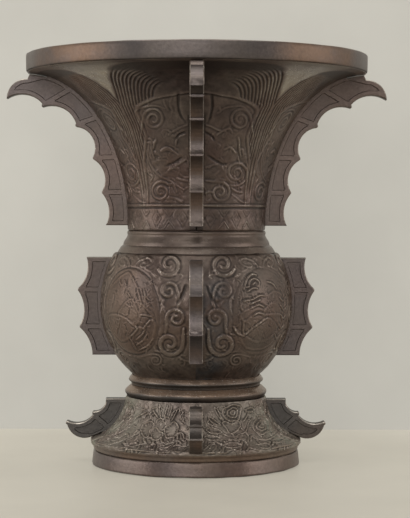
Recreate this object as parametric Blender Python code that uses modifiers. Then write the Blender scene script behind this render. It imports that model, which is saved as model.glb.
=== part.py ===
"""Bronze flower vase of the old beaker form, in metres, standing on z = 0 with +Z up.

Three hollow castings, neck, belly and foot, stand on one another with stepped joints.
Turned rings cover the joints, a plate closes the vessel's floor, and four scalloped
flanges on each casting have their roots let into grooves in its wall.
"""

import math

import bmesh
import bpy
from mathutils import Matrix

MM = 0.001

# Common sizes, in millimetres
SEGMENTS = 40
GAP = 0.3
WALL = 4.0

# Mouth rim
RIM_RADIUS = 136.4
RIM_BORE = 128.6
RIM_BOTTOM = 312.5
HEIGHT = 326.2

# Neck: its outside is a quarter ellipse from the throat to the lip
LIP_RADIUS = 135.2
LIP_HEIGHT = 309.3
NECK_TOP = 316.7
THROAT_RADIUS = 55.5
THROAT_HEIGHT = 192.4
NECK_BOTTOM = 187.0
NECK_SPIGOT_RADIUS = 50.3
NECK_BORE = 46.8

# Shoulder ring between the neck and the belly
SHOULDER_TOP = 186.7
SHOULDER_BOTTOM = 169.2
SHOULDER_SPIGOT_RADIUS = 57.3

# Belly: a globe cut off at the top and at the waist
BELLY_RADIUS = 76.9
BELLY_CENTRE = 129.2
BELLY_TOP = 168.9
BELLY_BOTTOM = 71.6
BELLY_SPIGOT_RADIUS = 45.3
BELLY_BORE = 41.6

# Floor plate and the solder that seals its edge
PLATE_RADIUS = 45.7
PLATE_BOTTOM = 73.9
PLATE_TOP = 77.2

# Waist rings, sleeved on the collar of the foot
RING_BORE = 49.9
UPPER_RING = (63.5, 71.3)
LOWER_RING = (54.2, 63.2)

# Foot: a collar, then a flare that follows an arc out to the lip
COLLAR_RADIUS = 49.6
COLLAR_BORE = 45.6
COLLAR_TOP = 68.6
FOOT_TOP = 53.9
FLARE_START = (56.3, 52.4)
FLARE_END = (84.2, 20.0)
FLARE_SAG = 6.3
FOOT_BOTTOM = 11.8
FOOT_SPIGOT_RADIUS = 75.7
FOOT_BORE = 71.7

# Plain band under the foot
BAND_RADIUS = 83.5
BAND_BORE = 76.0
BAND_TOP = 11.5

# Flanges: plates with a raised border and a raised rib at each peak
FLANGE_THICKNESS = 10.5
LET_IN = 1.7
POCKET_DEPTH = 1.1
BORDER = 3.8
RIB = 4.4
ARC_STEPS = 5

# Each flange's scalloped edge: the start, then the end and sagitta of every arc
NECK_EDGE = [(135.4, 307.8), (152.1, 291.8, -4.8), (124.0, 286.4, 5.5), (97.1, 270.9, 6.3),
             (83.1, 244.7, 6.9), (75.8, 217.3, 5.2), (72.4, 190.8, 3.7)]
BELLY_EDGE = [(87.9, 165.2), (94.9, 139.2, 3.6), (93.4, 109.6, 3.75), (83.2, 86.8, 2.5)]
FOOT_EDGE = [(72.4, 51.5), (83.2, 39.6, 3.6), (103.2, 33.2, 3.9), (103.4, 30.4, -1.2), (86.0, 20.0, -4.2)]

SIDES = {"front": -90.0, "right": 0.0, "back": 90.0, "left": 180.0}


# Clear the scene and make the collections, the root and the materials
for old in list(bpy.data.objects):
    bpy.data.objects.remove(old, do_unlink=True)

vase = bpy.data.collections.new("bronze_vase")
cutters = bpy.data.collections.new("cutters")
bpy.context.scene.collection.children.link(vase)
bpy.context.scene.collection.children.link(cutters)
root = bpy.data.objects.new("bronze_vase", None)
vase.objects.link(root)


def metal(name, colour, roughness, metallic):
    """A plain metal with its colour, roughness and metallic share."""
    made = bpy.data.materials.new(name)
    made.use_nodes = True
    shader = made.node_tree.nodes["Principled BSDF"]
    shader.inputs["Base Color"].default_value = (*colour, 1.0)
    shader.inputs["Roughness"].default_value = roughness
    shader.inputs["Metallic"].default_value = metallic
    made.diffuse_color = (*colour, 1.0)
    return made


dark_bronze = metal("dark_bronze", (0.075, 0.058, 0.048), 0.45, 0.9)
flange_bronze = metal("flange_bronze", (0.095, 0.070, 0.062), 0.42, 0.9)
rubbed_bronze = metal("rubbed_bronze", (0.150, 0.105, 0.075), 0.38, 0.95)
raw_bronze = metal("raw_bronze", (0.110, 0.090, 0.060), 0.60, 0.8)
grey_solder = metal("grey_solder", (0.300, 0.300, 0.290), 0.50, 0.9)


# Shapes in the plane of radius and height
def arc(start, end, sagitta, steps):
    """Points after start up to end, on the arc that stands sagitta to the chord's right."""
    run, rise = end[0] - start[0], end[1] - start[1]
    chord = math.hypot(run, rise)
    turn = 4.0 * math.atan(2.0 * sagitta / chord)
    points = []
    for step in range(1, steps + 1):
        part = turn * step / steps
        reach = chord * math.sin(part / 2.0) / math.sin(turn / 2.0)
        heading = math.atan2(rise, run) - turn / 2.0 + part / 2.0
        points.append((start[0] + reach * math.cos(heading), start[1] + reach * math.sin(heading)))
    return points


def neck_curve(wall, first, last, steps):
    """The neck's quarter ellipse, moved wall into the metal, between two angles in degrees."""
    points = []
    for step in range(steps + 1):
        angle = math.radians(first + (last - first) * step / steps)
        radius = LIP_RADIUS - (LIP_RADIUS - THROAT_RADIUS + wall) * math.cos(angle)
        height = THROAT_HEIGHT + (LIP_HEIGHT - THROAT_HEIGHT + wall) * math.sin(angle)
        points.append((radius, height))
    return points


def belly_curve(wall, first, last, steps):
    """The belly's globe, moved wall into the metal, between two heights."""
    radius = BELLY_RADIUS - wall
    low = math.asin((first - BELLY_CENTRE) / radius)
    high = math.asin((last - BELLY_CENTRE) / radius)
    points = []
    for step in range(steps + 1):
        angle = low + (high - low) * step / steps
        points.append((radius * math.cos(angle), BELLY_CENTRE + radius * math.sin(angle)))
    return points


def foot_curve(steps):
    """The outside of the foot's flare, from its top to its lip."""
    return [FLARE_START] + arc(FLARE_START, FLARE_END, FLARE_SAG, steps)


def moved(points, distance):
    """A line of points, moved by distance to its right."""
    shifted = []
    for index, (radius, height) in enumerate(points):
        before = points[max(index - 1, 0)]
        after = points[min(index + 1, len(points) - 1)]
        run, rise = after[0] - before[0], after[1] - before[1]
        length = math.hypot(run, rise)
        shifted.append((radius + rise / length * distance, height - run / length * distance))
    return shifted


def scalloped(edge, steps):
    """The points of a flange's edge, with its arcs worked out."""
    points = [edge[0]]
    for radius, height, sagitta in edge[1:]:
        points.extend(arc(points[-1], (radius, height), sagitta, steps))
    return points


# Makers of turned pieces and of flat plates
def turned(name, profile, material, closed=True):
    """A ring or disc: a profile turned once about the vase's axis."""
    mesh = bpy.data.meshes.new(name)
    corners = [(radius * MM, 0.0, height * MM) for radius, height in profile]
    edges = [(index, index + 1) for index in range(len(corners) - 1)]
    if closed:
        edges.append((len(corners) - 1, 0))
    mesh.from_pydata(corners, edges, [])
    piece = bpy.data.objects.new(name, mesh)
    mesh.materials.append(material)
    vase.objects.link(piece)
    piece.parent = root
    screw = piece.modifiers.new("Turn", "SCREW")
    screw.axis = "Z"
    screw.angle = math.tau
    screw.steps = SEGMENTS
    screw.render_steps = SEGMENTS
    screw.use_merge_vertices = True
    screw.merge_threshold = 0.00001
    screw.use_smooth_shade = True
    return piece


def plate(name, outlines, thickness, offsets):
    """A mesh of flat plates with the given outlines, one set at each offset along Y."""
    mesh = bpy.data.meshes.new(name)
    shape = bmesh.new()
    for offset in offsets:
        for outline in outlines:
            curve = bpy.data.curves.new(name, "CURVE")
            curve.dimensions = "2D"
            curve.fill_mode = "BOTH"
            curve.extrude = thickness / 2.0 * MM
            spline = curve.splines.new("POLY")
            spline.points.add(len(outline) - 1)
            spline.use_cyclic_u = True
            for point, (radius, height) in zip(spline.points, outline):
                point.co = (radius * MM, height * MM, 0.0, 1.0)
            holder = bpy.data.objects.new(name, curve)
            cutters.objects.link(holder)
            bpy.context.view_layer.update()
            flat = bpy.data.meshes.new_from_object(holder.evaluated_get(bpy.context.evaluated_depsgraph_get()))
            flat.transform(Matrix.Translation((0.0, offset * MM, 0.0)) @ Matrix.Rotation(math.pi / 2.0, 4, "X"))
            shape.from_mesh(flat)
            bpy.data.objects.remove(holder, do_unlink=True)
            bpy.data.curves.remove(curve)
            bpy.data.meshes.remove(flat)
    bmesh.ops.remove_doubles(shape, verts=shape.verts, dist=0.000001)
    bmesh.ops.recalc_face_normals(shape, faces=shape.faces)
    shape.to_mesh(mesh)
    shape.free()
    return mesh


def cutter(name, mesh):
    """An object that only cuts others."""
    tool = bpy.data.objects.new(name, mesh)
    tool.hide_render = True
    tool.display_type = "WIRE"
    cutters.objects.link(tool)
    return tool


def cut(piece, tool):
    """Take the tool's shape out of a piece."""
    boolean = piece.modifiers.new("Cut", "BOOLEAN")
    boolean.operation = "DIFFERENCE"
    boolean.solver = "EXACT"
    boolean.object = tool


def flanges(tier, outline, pockets):
    """Four equal flanges of one tier: a plate with pockets sunk in both of its sides."""
    blank = bpy.data.objects.new(tier + "_flange_blank", plate(tier, [outline], FLANGE_THICKNESS, [0.0]))
    cutters.objects.link(blank)
    deep = POCKET_DEPTH + 1.0
    side = FLANGE_THICKNESS / 2.0 + 0.5 - POCKET_DEPTH / 2.0
    tool = cutter(tier + "_flange_pockets", plate(tier, pockets, deep, [side, -side]))
    cut(blank, tool)
    bpy.context.view_layer.update()
    mesh = bpy.data.meshes.new_from_object(blank.evaluated_get(bpy.context.evaluated_depsgraph_get()))
    mesh.name = tier + "_flange"
    mesh.materials.clear()
    mesh.materials.append(flange_bronze)
    bpy.data.objects.remove(blank, do_unlink=True)
    for where, degrees in SIDES.items():
        piece = bpy.data.objects.new(tier + "_flange_" + where, mesh)
        piece.rotation_euler = (0.0, 0.0, math.radians(degrees))
        piece.parent = root
        vase.objects.link(piece)


def grooves(casting, tier, outline):
    """Cut four grooves in a casting, each a gap wider than the flange root it takes."""
    tool_mesh = plate(tier + "_groove", [outline], FLANGE_THICKNESS + 2.0 * GAP, [0.0])
    for where, degrees in SIDES.items():
        tool = cutter(tier + "_groove_" + where, tool_mesh)
        tool.rotation_euler = (0.0, 0.0, math.radians(degrees))
        cut(casting, tool)


def clipped(outline, point, degrees):
    """The part of an outline that lies to the right of a line through a point."""
    across = (math.sin(math.radians(degrees)), -math.cos(math.radians(degrees)))
    kept = []
    for index, here in enumerate(outline):
        there = outline[index - 1]
        depth = (here[0] - point[0]) * across[0] + (here[1] - point[1]) * across[1]
        depth_there = (there[0] - point[0]) * across[0] + (there[1] - point[1]) * across[1]
        if (depth > 0.0) != (depth_there > 0.0):
            share = depth_there / (depth_there - depth)
            kept.append((there[0] + (here[0] - there[0]) * share, there[1] + (here[1] - there[1]) * share))
        if depth > 0.0:
            kept.append(here)
    return kept


def inset(edge):
    """A flange's edge moved in by the border, without the points that come too near to it."""
    kept = []
    for radius, height in moved(edge, BORDER):
        if min(math.hypot(radius - r, height - h) for r, h in edge) > 0.93 * BORDER:
            kept.append((radius, height))
    return kept


def pockets_of(panel, ribs):
    """The panel's pockets, from the top: what is left of it between its ribs."""
    pockets = []
    rest = panel
    for radius, height, degrees in ribs:
        aside = math.radians(degrees + 90.0)
        half = (RIB / 2.0 * math.cos(aside), RIB / 2.0 * math.sin(aside))
        pockets.append(clipped(rest, (radius - half[0], height - half[1]), degrees))
        rest = clipped(rest, (radius + half[0], height + half[1]), degrees + 180.0)
    return pockets + [rest]


# Mouth rim: a flat-topped ring seated on the neck's lip
turned("mouth_rim", [
    (RIM_BORE + 1.4, HEIGHT), (RIM_RADIUS - 0.9, HEIGHT), (RIM_RADIUS, HEIGHT - 1.0),
    (RIM_RADIUS - 0.2, RIM_BOTTOM + 0.8), (RIM_RADIUS - 0.9, RIM_BOTTOM),
    (RIM_BORE, RIM_BOTTOM), (RIM_BORE, HEIGHT - 1.4)], rubbed_bronze)

# Neck: the flared upper casting, with a lip for the rim and a spigot at the bottom
neck_outside = neck_curve(0.0, 90.0, 0.0, 12)
neck_inside = neck_curve(WALL, 0.0, 83.0, 7)
neck = turned("neck", [
    (125.0, NECK_TOP), (RIM_BORE - GAP, NECK_TOP), (RIM_BORE - GAP, RIM_BOTTOM - GAP),
    (LIP_RADIUS, RIM_BOTTOM - GAP)] + neck_outside + [
    (THROAT_RADIUS - 0.3, NECK_BOTTOM + 0.8), (THROAT_RADIUS - 1.1, NECK_BOTTOM),
    (NECK_SPIGOT_RADIUS, NECK_BOTTOM), (NECK_SPIGOT_RADIUS, 177.5), (NECK_BORE, 177.5),
    (NECK_BORE, NECK_BOTTOM)] + neck_inside, dark_bronze)

# Shoulder ring: a small bead over two sloping mouldings, and a spigot for the belly's mouth
turned("shoulder_ring", [
    (50.6, SHOULDER_TOP), (54.3, SHOULDER_TOP), (55.2, 186.0), (55.5, 184.8), (55.1, 183.6),
    (56.2, 180.6), (57.9, 178.0), (58.6, 175.8), (58.9, 174.9), (60.6, 173.6), (62.2, 171.2),
    (63.4, SHOULDER_BOTTOM), (SHOULDER_SPIGOT_RADIUS, SHOULDER_BOTTOM), (SHOULDER_SPIGOT_RADIUS, 164.5),
    (53.2, 164.5), (53.2, 172.0), (50.6, 176.0)], rubbed_bronze)

# Belly: the globe, with a bored mouth, a ledge for the floor plate and a spigot below
belly = turned("belly", [
    (SHOULDER_SPIGOT_RADIUS + GAP, BELLY_TOP), (64.8, BELLY_TOP)]
    + belly_curve(0.0, 167.8, 73.4, 11) + [
    (51.5, 72.3), (51.3, BELLY_BOTTOM), (BELLY_SPIGOT_RADIUS, BELLY_BOTTOM),
    (BELLY_SPIGOT_RADIUS, 57.5), (BELLY_BORE, 57.5), (BELLY_BORE, PLATE_BOTTOM - GAP),
    (PLATE_RADIUS + GAP, PLATE_BOTTOM - GAP), (PLATE_RADIUS + GAP, PLATE_TOP + 0.2)]
    + belly_curve(4.2, PLATE_TOP + 0.2, 163.0, 7) + [(SHOULDER_SPIGOT_RADIUS + GAP, 166.0)], dark_bronze)

# Floor plate: a disc dropped on the ledge in the belly's bottom
turned("floor_plate", [
    (0.0, PLATE_TOP), (PLATE_RADIUS, PLATE_TOP), (PLATE_RADIUS, PLATE_BOTTOM), (0.0, PLATE_BOTTOM)],
    raw_bronze, closed=False)

# Floor solder: a low bead run round the plate's edge, which makes the vessel hold water
turned("floor_solder", [(45.8, 79.2), (48.3, 77.7), (43.3, 77.7)], grey_solder)

# Waist rings: two rings on the foot's collar, each with a sloping top over a rounded nose
turned("waist_ring_upper", [
    (RING_BORE, UPPER_RING[1]), (51.4, UPPER_RING[1]), (53.5, 68.8), (54.1, 67.4), (53.5, 66.3),
    (52.1, 65.3), (51.6, UPPER_RING[0]), (RING_BORE, UPPER_RING[0])], rubbed_bronze)
turned("waist_ring_lower", [
    (RING_BORE, LOWER_RING[1]), (51.5, LOWER_RING[1]), (55.6, 60.2), (56.9, 58.6), (56.5, 56.7),
    (55.6, 55.2), (54.6, LOWER_RING[0]), (RING_BORE, LOWER_RING[0])], rubbed_bronze)

# Foot: the flared lower casting, with a collar above and a spigot for the band below
foot = turned("foot", [
    (COLLAR_BORE, COLLAR_TOP), (COLLAR_RADIUS, COLLAR_TOP), (COLLAR_RADIUS, FOOT_TOP), (55.6, FOOT_TOP)]
    + foot_curve(6) + [
    (84.5, 18.4), (84.4, 16.6), (82.6, 14.2), (82.1, 12.4), (81.5, FOOT_BOTTOM),
    (FOOT_SPIGOT_RADIUS, FOOT_BOTTOM), (FOOT_SPIGOT_RADIUS, 5.0), (FOOT_BORE, 5.0), (FOOT_BORE, 20.5)]
    + arc((FOOT_BORE, 20.5), (52.0, 47.5), -5.2, 4) + [(COLLAR_BORE, 52.5)], dark_bronze)

# Foot band: the plain ring that the vase stands on
turned("foot_band", [
    (BAND_BORE, BAND_TOP), (BAND_RADIUS - 2.0, BAND_TOP), (BAND_RADIUS - 1.2, BAND_TOP - 0.9),
    (BAND_RADIUS, 1.0), (BAND_RADIUS - 0.7, 0.0), (BAND_BORE, 0.0)], rubbed_bronze)


# Neck flanges: the root is let in up to the flare, then follows the outside to the lip
NECK_ROOT_END = 79.0
NECK_RIBS = [(124.0, 286.4, 150.0), (97.1, 270.9, 160.0), (83.1, 244.7, 178.0), (75.8, 217.3, 180.0)]
neck_bottom = NECK_EDGE[-1][1]
neck_edge = scalloped(NECK_EDGE, ARC_STEPS)
neck_line = moved(neck_curve(0.0, 0.0, NECK_ROOT_END, 10), -LET_IN)
neck_clear = moved(neck_curve(0.0, NECK_ROOT_END, 89.0, 3), 0.8)
neck_outline = neck_edge + [(neck_line[0][0], neck_bottom)] + neck_line + neck_clear
neck_beside = moved(neck_curve(0.0, 4.0, 82.0, 8), 1.8)
neck_panel = inset(neck_edge) + [(neck_beside[0][0], neck_bottom + BORDER)] + neck_beside
neck_panel = clipped(neck_panel, (0.0, neck_bottom + BORDER), 180.0)
flanges("neck", neck_outline, pockets_of(neck_panel, NECK_RIBS))
neck_deep = moved(neck_curve(0.0, 0.0, NECK_ROOT_END + 0.3, 10), -LET_IN - GAP)
neck_far = moved(neck_curve(0.0, 0.0, NECK_ROOT_END + 0.3, 10), 3.0)
grooves(neck, "neck", [(neck_far[0][0], neck_bottom - GAP), (neck_deep[0][0], neck_bottom - GAP)]
        + neck_deep + neck_far[::-1])

# Belly flanges: the whole root is let in
BELLY_RIBS = [(94.9, 139.2, 180.0), (93.4, 109.6, 180.0)]
belly_top, belly_low = BELLY_EDGE[0][1], BELLY_EDGE[-1][1]
belly_edge = scalloped(BELLY_EDGE, ARC_STEPS)
belly_outline = belly_edge + belly_curve(LET_IN, belly_low, belly_top, 6)
belly_panel = inset(belly_edge) + belly_curve(-1.8, belly_low, belly_top, 6)
belly_panel = clipped(belly_panel, (0.0, belly_low + BORDER), 180.0)
belly_panel = clipped(belly_panel, (0.0, belly_top - BORDER), 0.0)
flanges("belly", belly_outline, pockets_of(belly_panel, BELLY_RIBS))
grooves(belly, "belly", belly_curve(LET_IN + GAP, belly_low - GAP, belly_top + GAP, 6)
        + belly_curve(-3.0, belly_top + GAP, belly_low - GAP, 6))

# Foot flanges: the root is let in down to the lip, then follows the outside
FOOT_RIBS = [(83.2, 39.6, 222.0)]
FOOT_ROOT_END = 7
foot_top = FOOT_EDGE[0][1]
foot_edge = scalloped(FOOT_EDGE, ARC_STEPS)
foot_line = foot_curve(9)
foot_let = moved(foot_line[:FOOT_ROOT_END + 1], LET_IN)
foot_outline = clipped(foot_edge + moved(foot_line[FOOT_ROOT_END:], -0.6)[::-1] + foot_let[::-1],
                       (0.0, foot_top + 0.001), 0.0)
foot_panel = clipped(inset(foot_edge) + moved(foot_line, -1.6)[::-1], (0.0, foot_top - BORDER), 0.0)
flanges("foot", foot_outline, pockets_of(foot_panel, FOOT_RIBS))
foot_deep = moved(foot_line[:FOOT_ROOT_END + 1], LET_IN + GAP)
foot_far = moved(foot_line[:FOOT_ROOT_END + 1], -3.0)
foot_groove = foot_deep + [(foot_deep[-1][0] + 0.5, foot_deep[-1][1])] + foot_far[::-1]
grooves(foot, "foot", clipped(foot_groove, (0.0, foot_top + GAP), 0.0))
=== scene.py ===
import math

import bmesh
import bpy
import numpy as np
from mathutils import Matrix, Vector


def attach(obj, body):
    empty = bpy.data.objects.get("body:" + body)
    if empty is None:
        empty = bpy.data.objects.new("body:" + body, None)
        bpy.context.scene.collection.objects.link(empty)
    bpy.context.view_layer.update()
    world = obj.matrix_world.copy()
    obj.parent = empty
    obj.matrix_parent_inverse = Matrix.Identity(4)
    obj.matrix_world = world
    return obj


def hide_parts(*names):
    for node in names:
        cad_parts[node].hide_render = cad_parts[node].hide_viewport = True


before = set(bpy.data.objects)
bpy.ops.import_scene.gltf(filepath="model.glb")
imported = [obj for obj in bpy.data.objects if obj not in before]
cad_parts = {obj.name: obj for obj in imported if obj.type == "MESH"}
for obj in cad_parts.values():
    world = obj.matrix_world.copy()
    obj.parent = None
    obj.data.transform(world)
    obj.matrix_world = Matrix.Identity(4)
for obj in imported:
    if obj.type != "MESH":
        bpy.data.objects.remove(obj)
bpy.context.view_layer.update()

MM = 0.001

# The view: the vase stands on a pale stone table before a plain wall, under soft light
# from above, the front and both sides. The camera is a long lens at the height of the neck.
IMAGE_HEIGHT = 518
FOCAL_PIXELS = 1640.0
CAMERA_DISTANCE = 1.32
CAMERA_HEIGHT = 0.203
PITCH_DOWN = 1.70
TURN_RIGHT = 0.304
ROLL = 0.2
STAGE_ROUGHNESS = 0.42
STAGE_SHEEN = 0.15
STAGE_DARKER = 0.94
MOTTLE = (0.3, 0.7)
GLOW_FRONT_TO_BACK = (-0.40, 0.20, 0.73, 1.15)

scene = bpy.context.scene
scene.view_settings.view_transform = "Standard"
lens = bpy.data.cameras.new("view")
lens.sensor_width = 36.0
lens.lens = FOCAL_PIXELS / IMAGE_HEIGHT * lens.sensor_width
lens.clip_end = 20.0
camera = bpy.data.objects.new("view", lens)
camera.matrix_world = (Matrix.Translation((0.0, -CAMERA_DISTANCE, CAMERA_HEIGHT))
                       @ Matrix.Rotation(math.radians(-TURN_RIGHT), 4, "Z")
                       @ Matrix.Rotation(math.radians(90.0 - PITCH_DOWN), 4, "X")
                       @ Matrix.Rotation(math.radians(ROLL), 4, "Z"))
scene.collection.objects.link(camera)
scene.camera = camera


def feed(tree, setting, socket):
    """Link an output to a socket, or set the socket to a plain value or an opaque colour."""
    if isinstance(setting, bpy.types.NodeSocket):
        tree.links.new(setting, socket)
    elif socket.type == "RGBA":
        socket.default_value = (*setting, 1.0)
    else:
        socket.default_value = setting


def feed_all(tree, node, settings):
    """Feed a node's inputs by their names."""
    for name, setting in settings.items():
        feed(tree, setting, node.inputs[name])


def sums(tree, kind, first, second):
    """Two values put together by one kind of sum."""
    made = tree.nodes.new("ShaderNodeMath")
    made.operation = kind
    feed(tree, first, made.inputs[0])
    feed(tree, second, made.inputs[1])
    return made.outputs["Value"]


def spread(tree, value, low, high, start=0.0, end=1.0):
    """A value that runs from start to end while another runs from low to high."""
    made = tree.nodes.new("ShaderNodeMapRange")
    feed_all(tree, made, {"Value": value, "From Min": low, "From Max": high, "To Min": start, "To Max": end})
    return made.outputs["Result"]


def mix(tree, share, first, second):
    """Two colours, mixed by a share."""
    made = tree.nodes.new("ShaderNodeMix")
    made.data_type = "RGBA"
    feed_all(tree, made, {"Factor": share, "A": first, "B": second})
    return made.outputs["Result"]


def own_places(tree):
    """A piece's own coordinates."""
    return tree.nodes.new("ShaderNodeTexCoord").outputs["Object"]


def noise(tree, scale, detail, rough=0.55):
    """Cloudy noise over a piece."""
    made = tree.nodes.new("ShaderNodeTexNoise")
    feed_all(tree, made, {"Vector": own_places(tree), "Scale": scale, "Detail": detail, "Roughness": rough})
    return made.outputs["Fac"]


def stage_plane(name, size, place, colour, glow, bounce):
    """A large flat sheet of the stage: its mottled colour and glow, and the colour it throws on the vase.

    The glow rises from the front to the back: a painted reflection of the bright wall in the polished top.
    The sheet's back is clear, so that the vase can be seen from behind it too.
    """
    shape = bmesh.new()
    bmesh.ops.create_grid(shape, x_segments=1, y_segments=1, size=size, matrix=place)
    mesh = bpy.data.meshes.new(name)
    shape.to_mesh(mesh)
    shape.free()
    sheet = bpy.data.objects.new(name, mesh)
    scene.collection.objects.link(sheet)
    paint = bpy.data.materials.new(name)
    paint.use_nodes = True
    mesh.materials.append(paint)
    tree = paint.node_tree
    ray = tree.nodes.new("ShaderNodeLightPath").outputs
    seen = sums(tree, "MAXIMUM", ray["Is Glossy Ray"], ray["Is Transmission Ray"])
    seen = sums(tree, "MAXIMUM", ray["Is Camera Ray"], seen)
    cloud = noise(tree, 9.0, 4.0, 0.5)
    darker = [STAGE_DARKER * part for part in colour]
    tint = mix(tree, spread(tree, cloud, *MOTTLE), darker, colour)
    parts = tree.nodes.new("ShaderNodeSeparateXYZ")
    feed(tree, own_places(tree), parts.inputs["Vector"])
    strength = sums(tree, "MULTIPLY", spread(tree, parts.outputs["Y"], *GLOW_FRONT_TO_BACK), seen)
    strength = sums(tree, "MULTIPLY", strength, spread(tree, cloud, *MOTTLE, 0.95, 1.05))
    behind = tree.nodes.new("ShaderNodeNewGeometry").outputs["Backfacing"]
    feed_all(tree, tree.nodes["Principled BSDF"], {
        "Base Color": mix(tree, seen, bounce, tint), "Emission Color": glow, "Emission Strength": strength,
        "Alpha": sums(tree, "SUBTRACT", 1.0, behind),
        "Roughness": STAGE_ROUGHNESS, "Specular IOR Level": STAGE_SHEEN})


stage_plane("table_top", 4.0, Matrix.Translation((0.0, 0.0, -0.0005)), (0.245, 0.228, 0.195),
            (0.290, 0.272, 0.226), (0.44, 0.41, 0.35))
stage_plane("wall", 3.0, Matrix.Translation((0.0, 0.20, 0.0)) @ Matrix.Rotation(math.pi / 2.0, 4, "X"),
            (0.200, 0.190, 0.168), (0.320, 0.311, 0.277), (0.42, 0.40, 0.35))

sky = bpy.data.worlds.new("room")
sky.use_nodes = True
feed_all(sky.node_tree, sky.node_tree.nodes["Background"],
         {"Color": (0.93, 0.94, 0.97), "Strength": 0.30})
scene.world = sky


def soft_light(name, place, aim, size, power, colour):
    """A square soft box that looks at a point."""
    lamp = bpy.data.lights.new(name, "AREA")
    lamp.shape = "SQUARE"
    lamp.size = size
    lamp.energy = power
    lamp.color = colour
    holder = bpy.data.objects.new(name, lamp)
    holder.location = place
    holder.rotation_euler = (Vector(aim) - Vector(place)).to_track_quat("-Z", "Y").to_euler()
    scene.collection.objects.link(holder)


soft_light("ceiling", (-0.1, -0.45, 1.6), (0.0, 0.05, 0.1), 1.3, 17.5, (1.0, 0.99, 0.96))
soft_light("front_window", (-0.30, -2.20, 0.75), (0.0, 0.0, 0.15), 1.3, 15.4, (1.0, 0.99, 0.98))
soft_light("left_window", (-1.35, -0.35, 0.40), (0.0, 0.0, 0.2), 0.9, 8.0, (1.0, 0.99, 0.97))
soft_light("right_window", (1.35, -0.35, 0.40), (0.0, 0.0, 0.2), 0.9, 6.0, (1.0, 0.99, 0.97))

# Foot band: the plain ring that the vase stands on, a turned bronze casting pressed over
# the foot's spigot. Its face leans out; its patina is painted lighter on upward and darker on downward faces.
BAND_BORE = 76.0
BAND_FACE = [(80.6, 11.5), (81.5, 11.3), (82.1, 10.8), (82.4, 10.0), (82.75, 7.2), (83.1, 4.4), (83.4, 1.9),
             (83.5, 1.1), (83.3, 0.4), (82.7, 0.0)]
FULL_STEPS = 180
SHARP_ANGLE = math.radians(42.0)
UNEVEN_SIZE = 26.0
METAL_SHARE = 0.60
PIT_STRENGTH = 0.4
PIT_DEPTH = 0.5 * MM
BROWN = (0.092, 0.063, 0.051)
WARM = (0.150, 0.082, 0.050)
DUST = (0.158, 0.130, 0.103)
BRIGHT = (0.560, 0.510, 0.440)
# Pale colour of polished bronze, also used for painted light
RUBBED_AND_LIT = (0.225, 0.180, 0.144)
GREEN = (0.190, 0.190, 0.150)


def group_input(tree, name, kind, value):
    """Add a named input with its first value to a node group."""
    socket = tree.interface.new_socket(name, in_out="INPUT", socket_type="NodeSocket" + kind)
    socket.default_value = value


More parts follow.
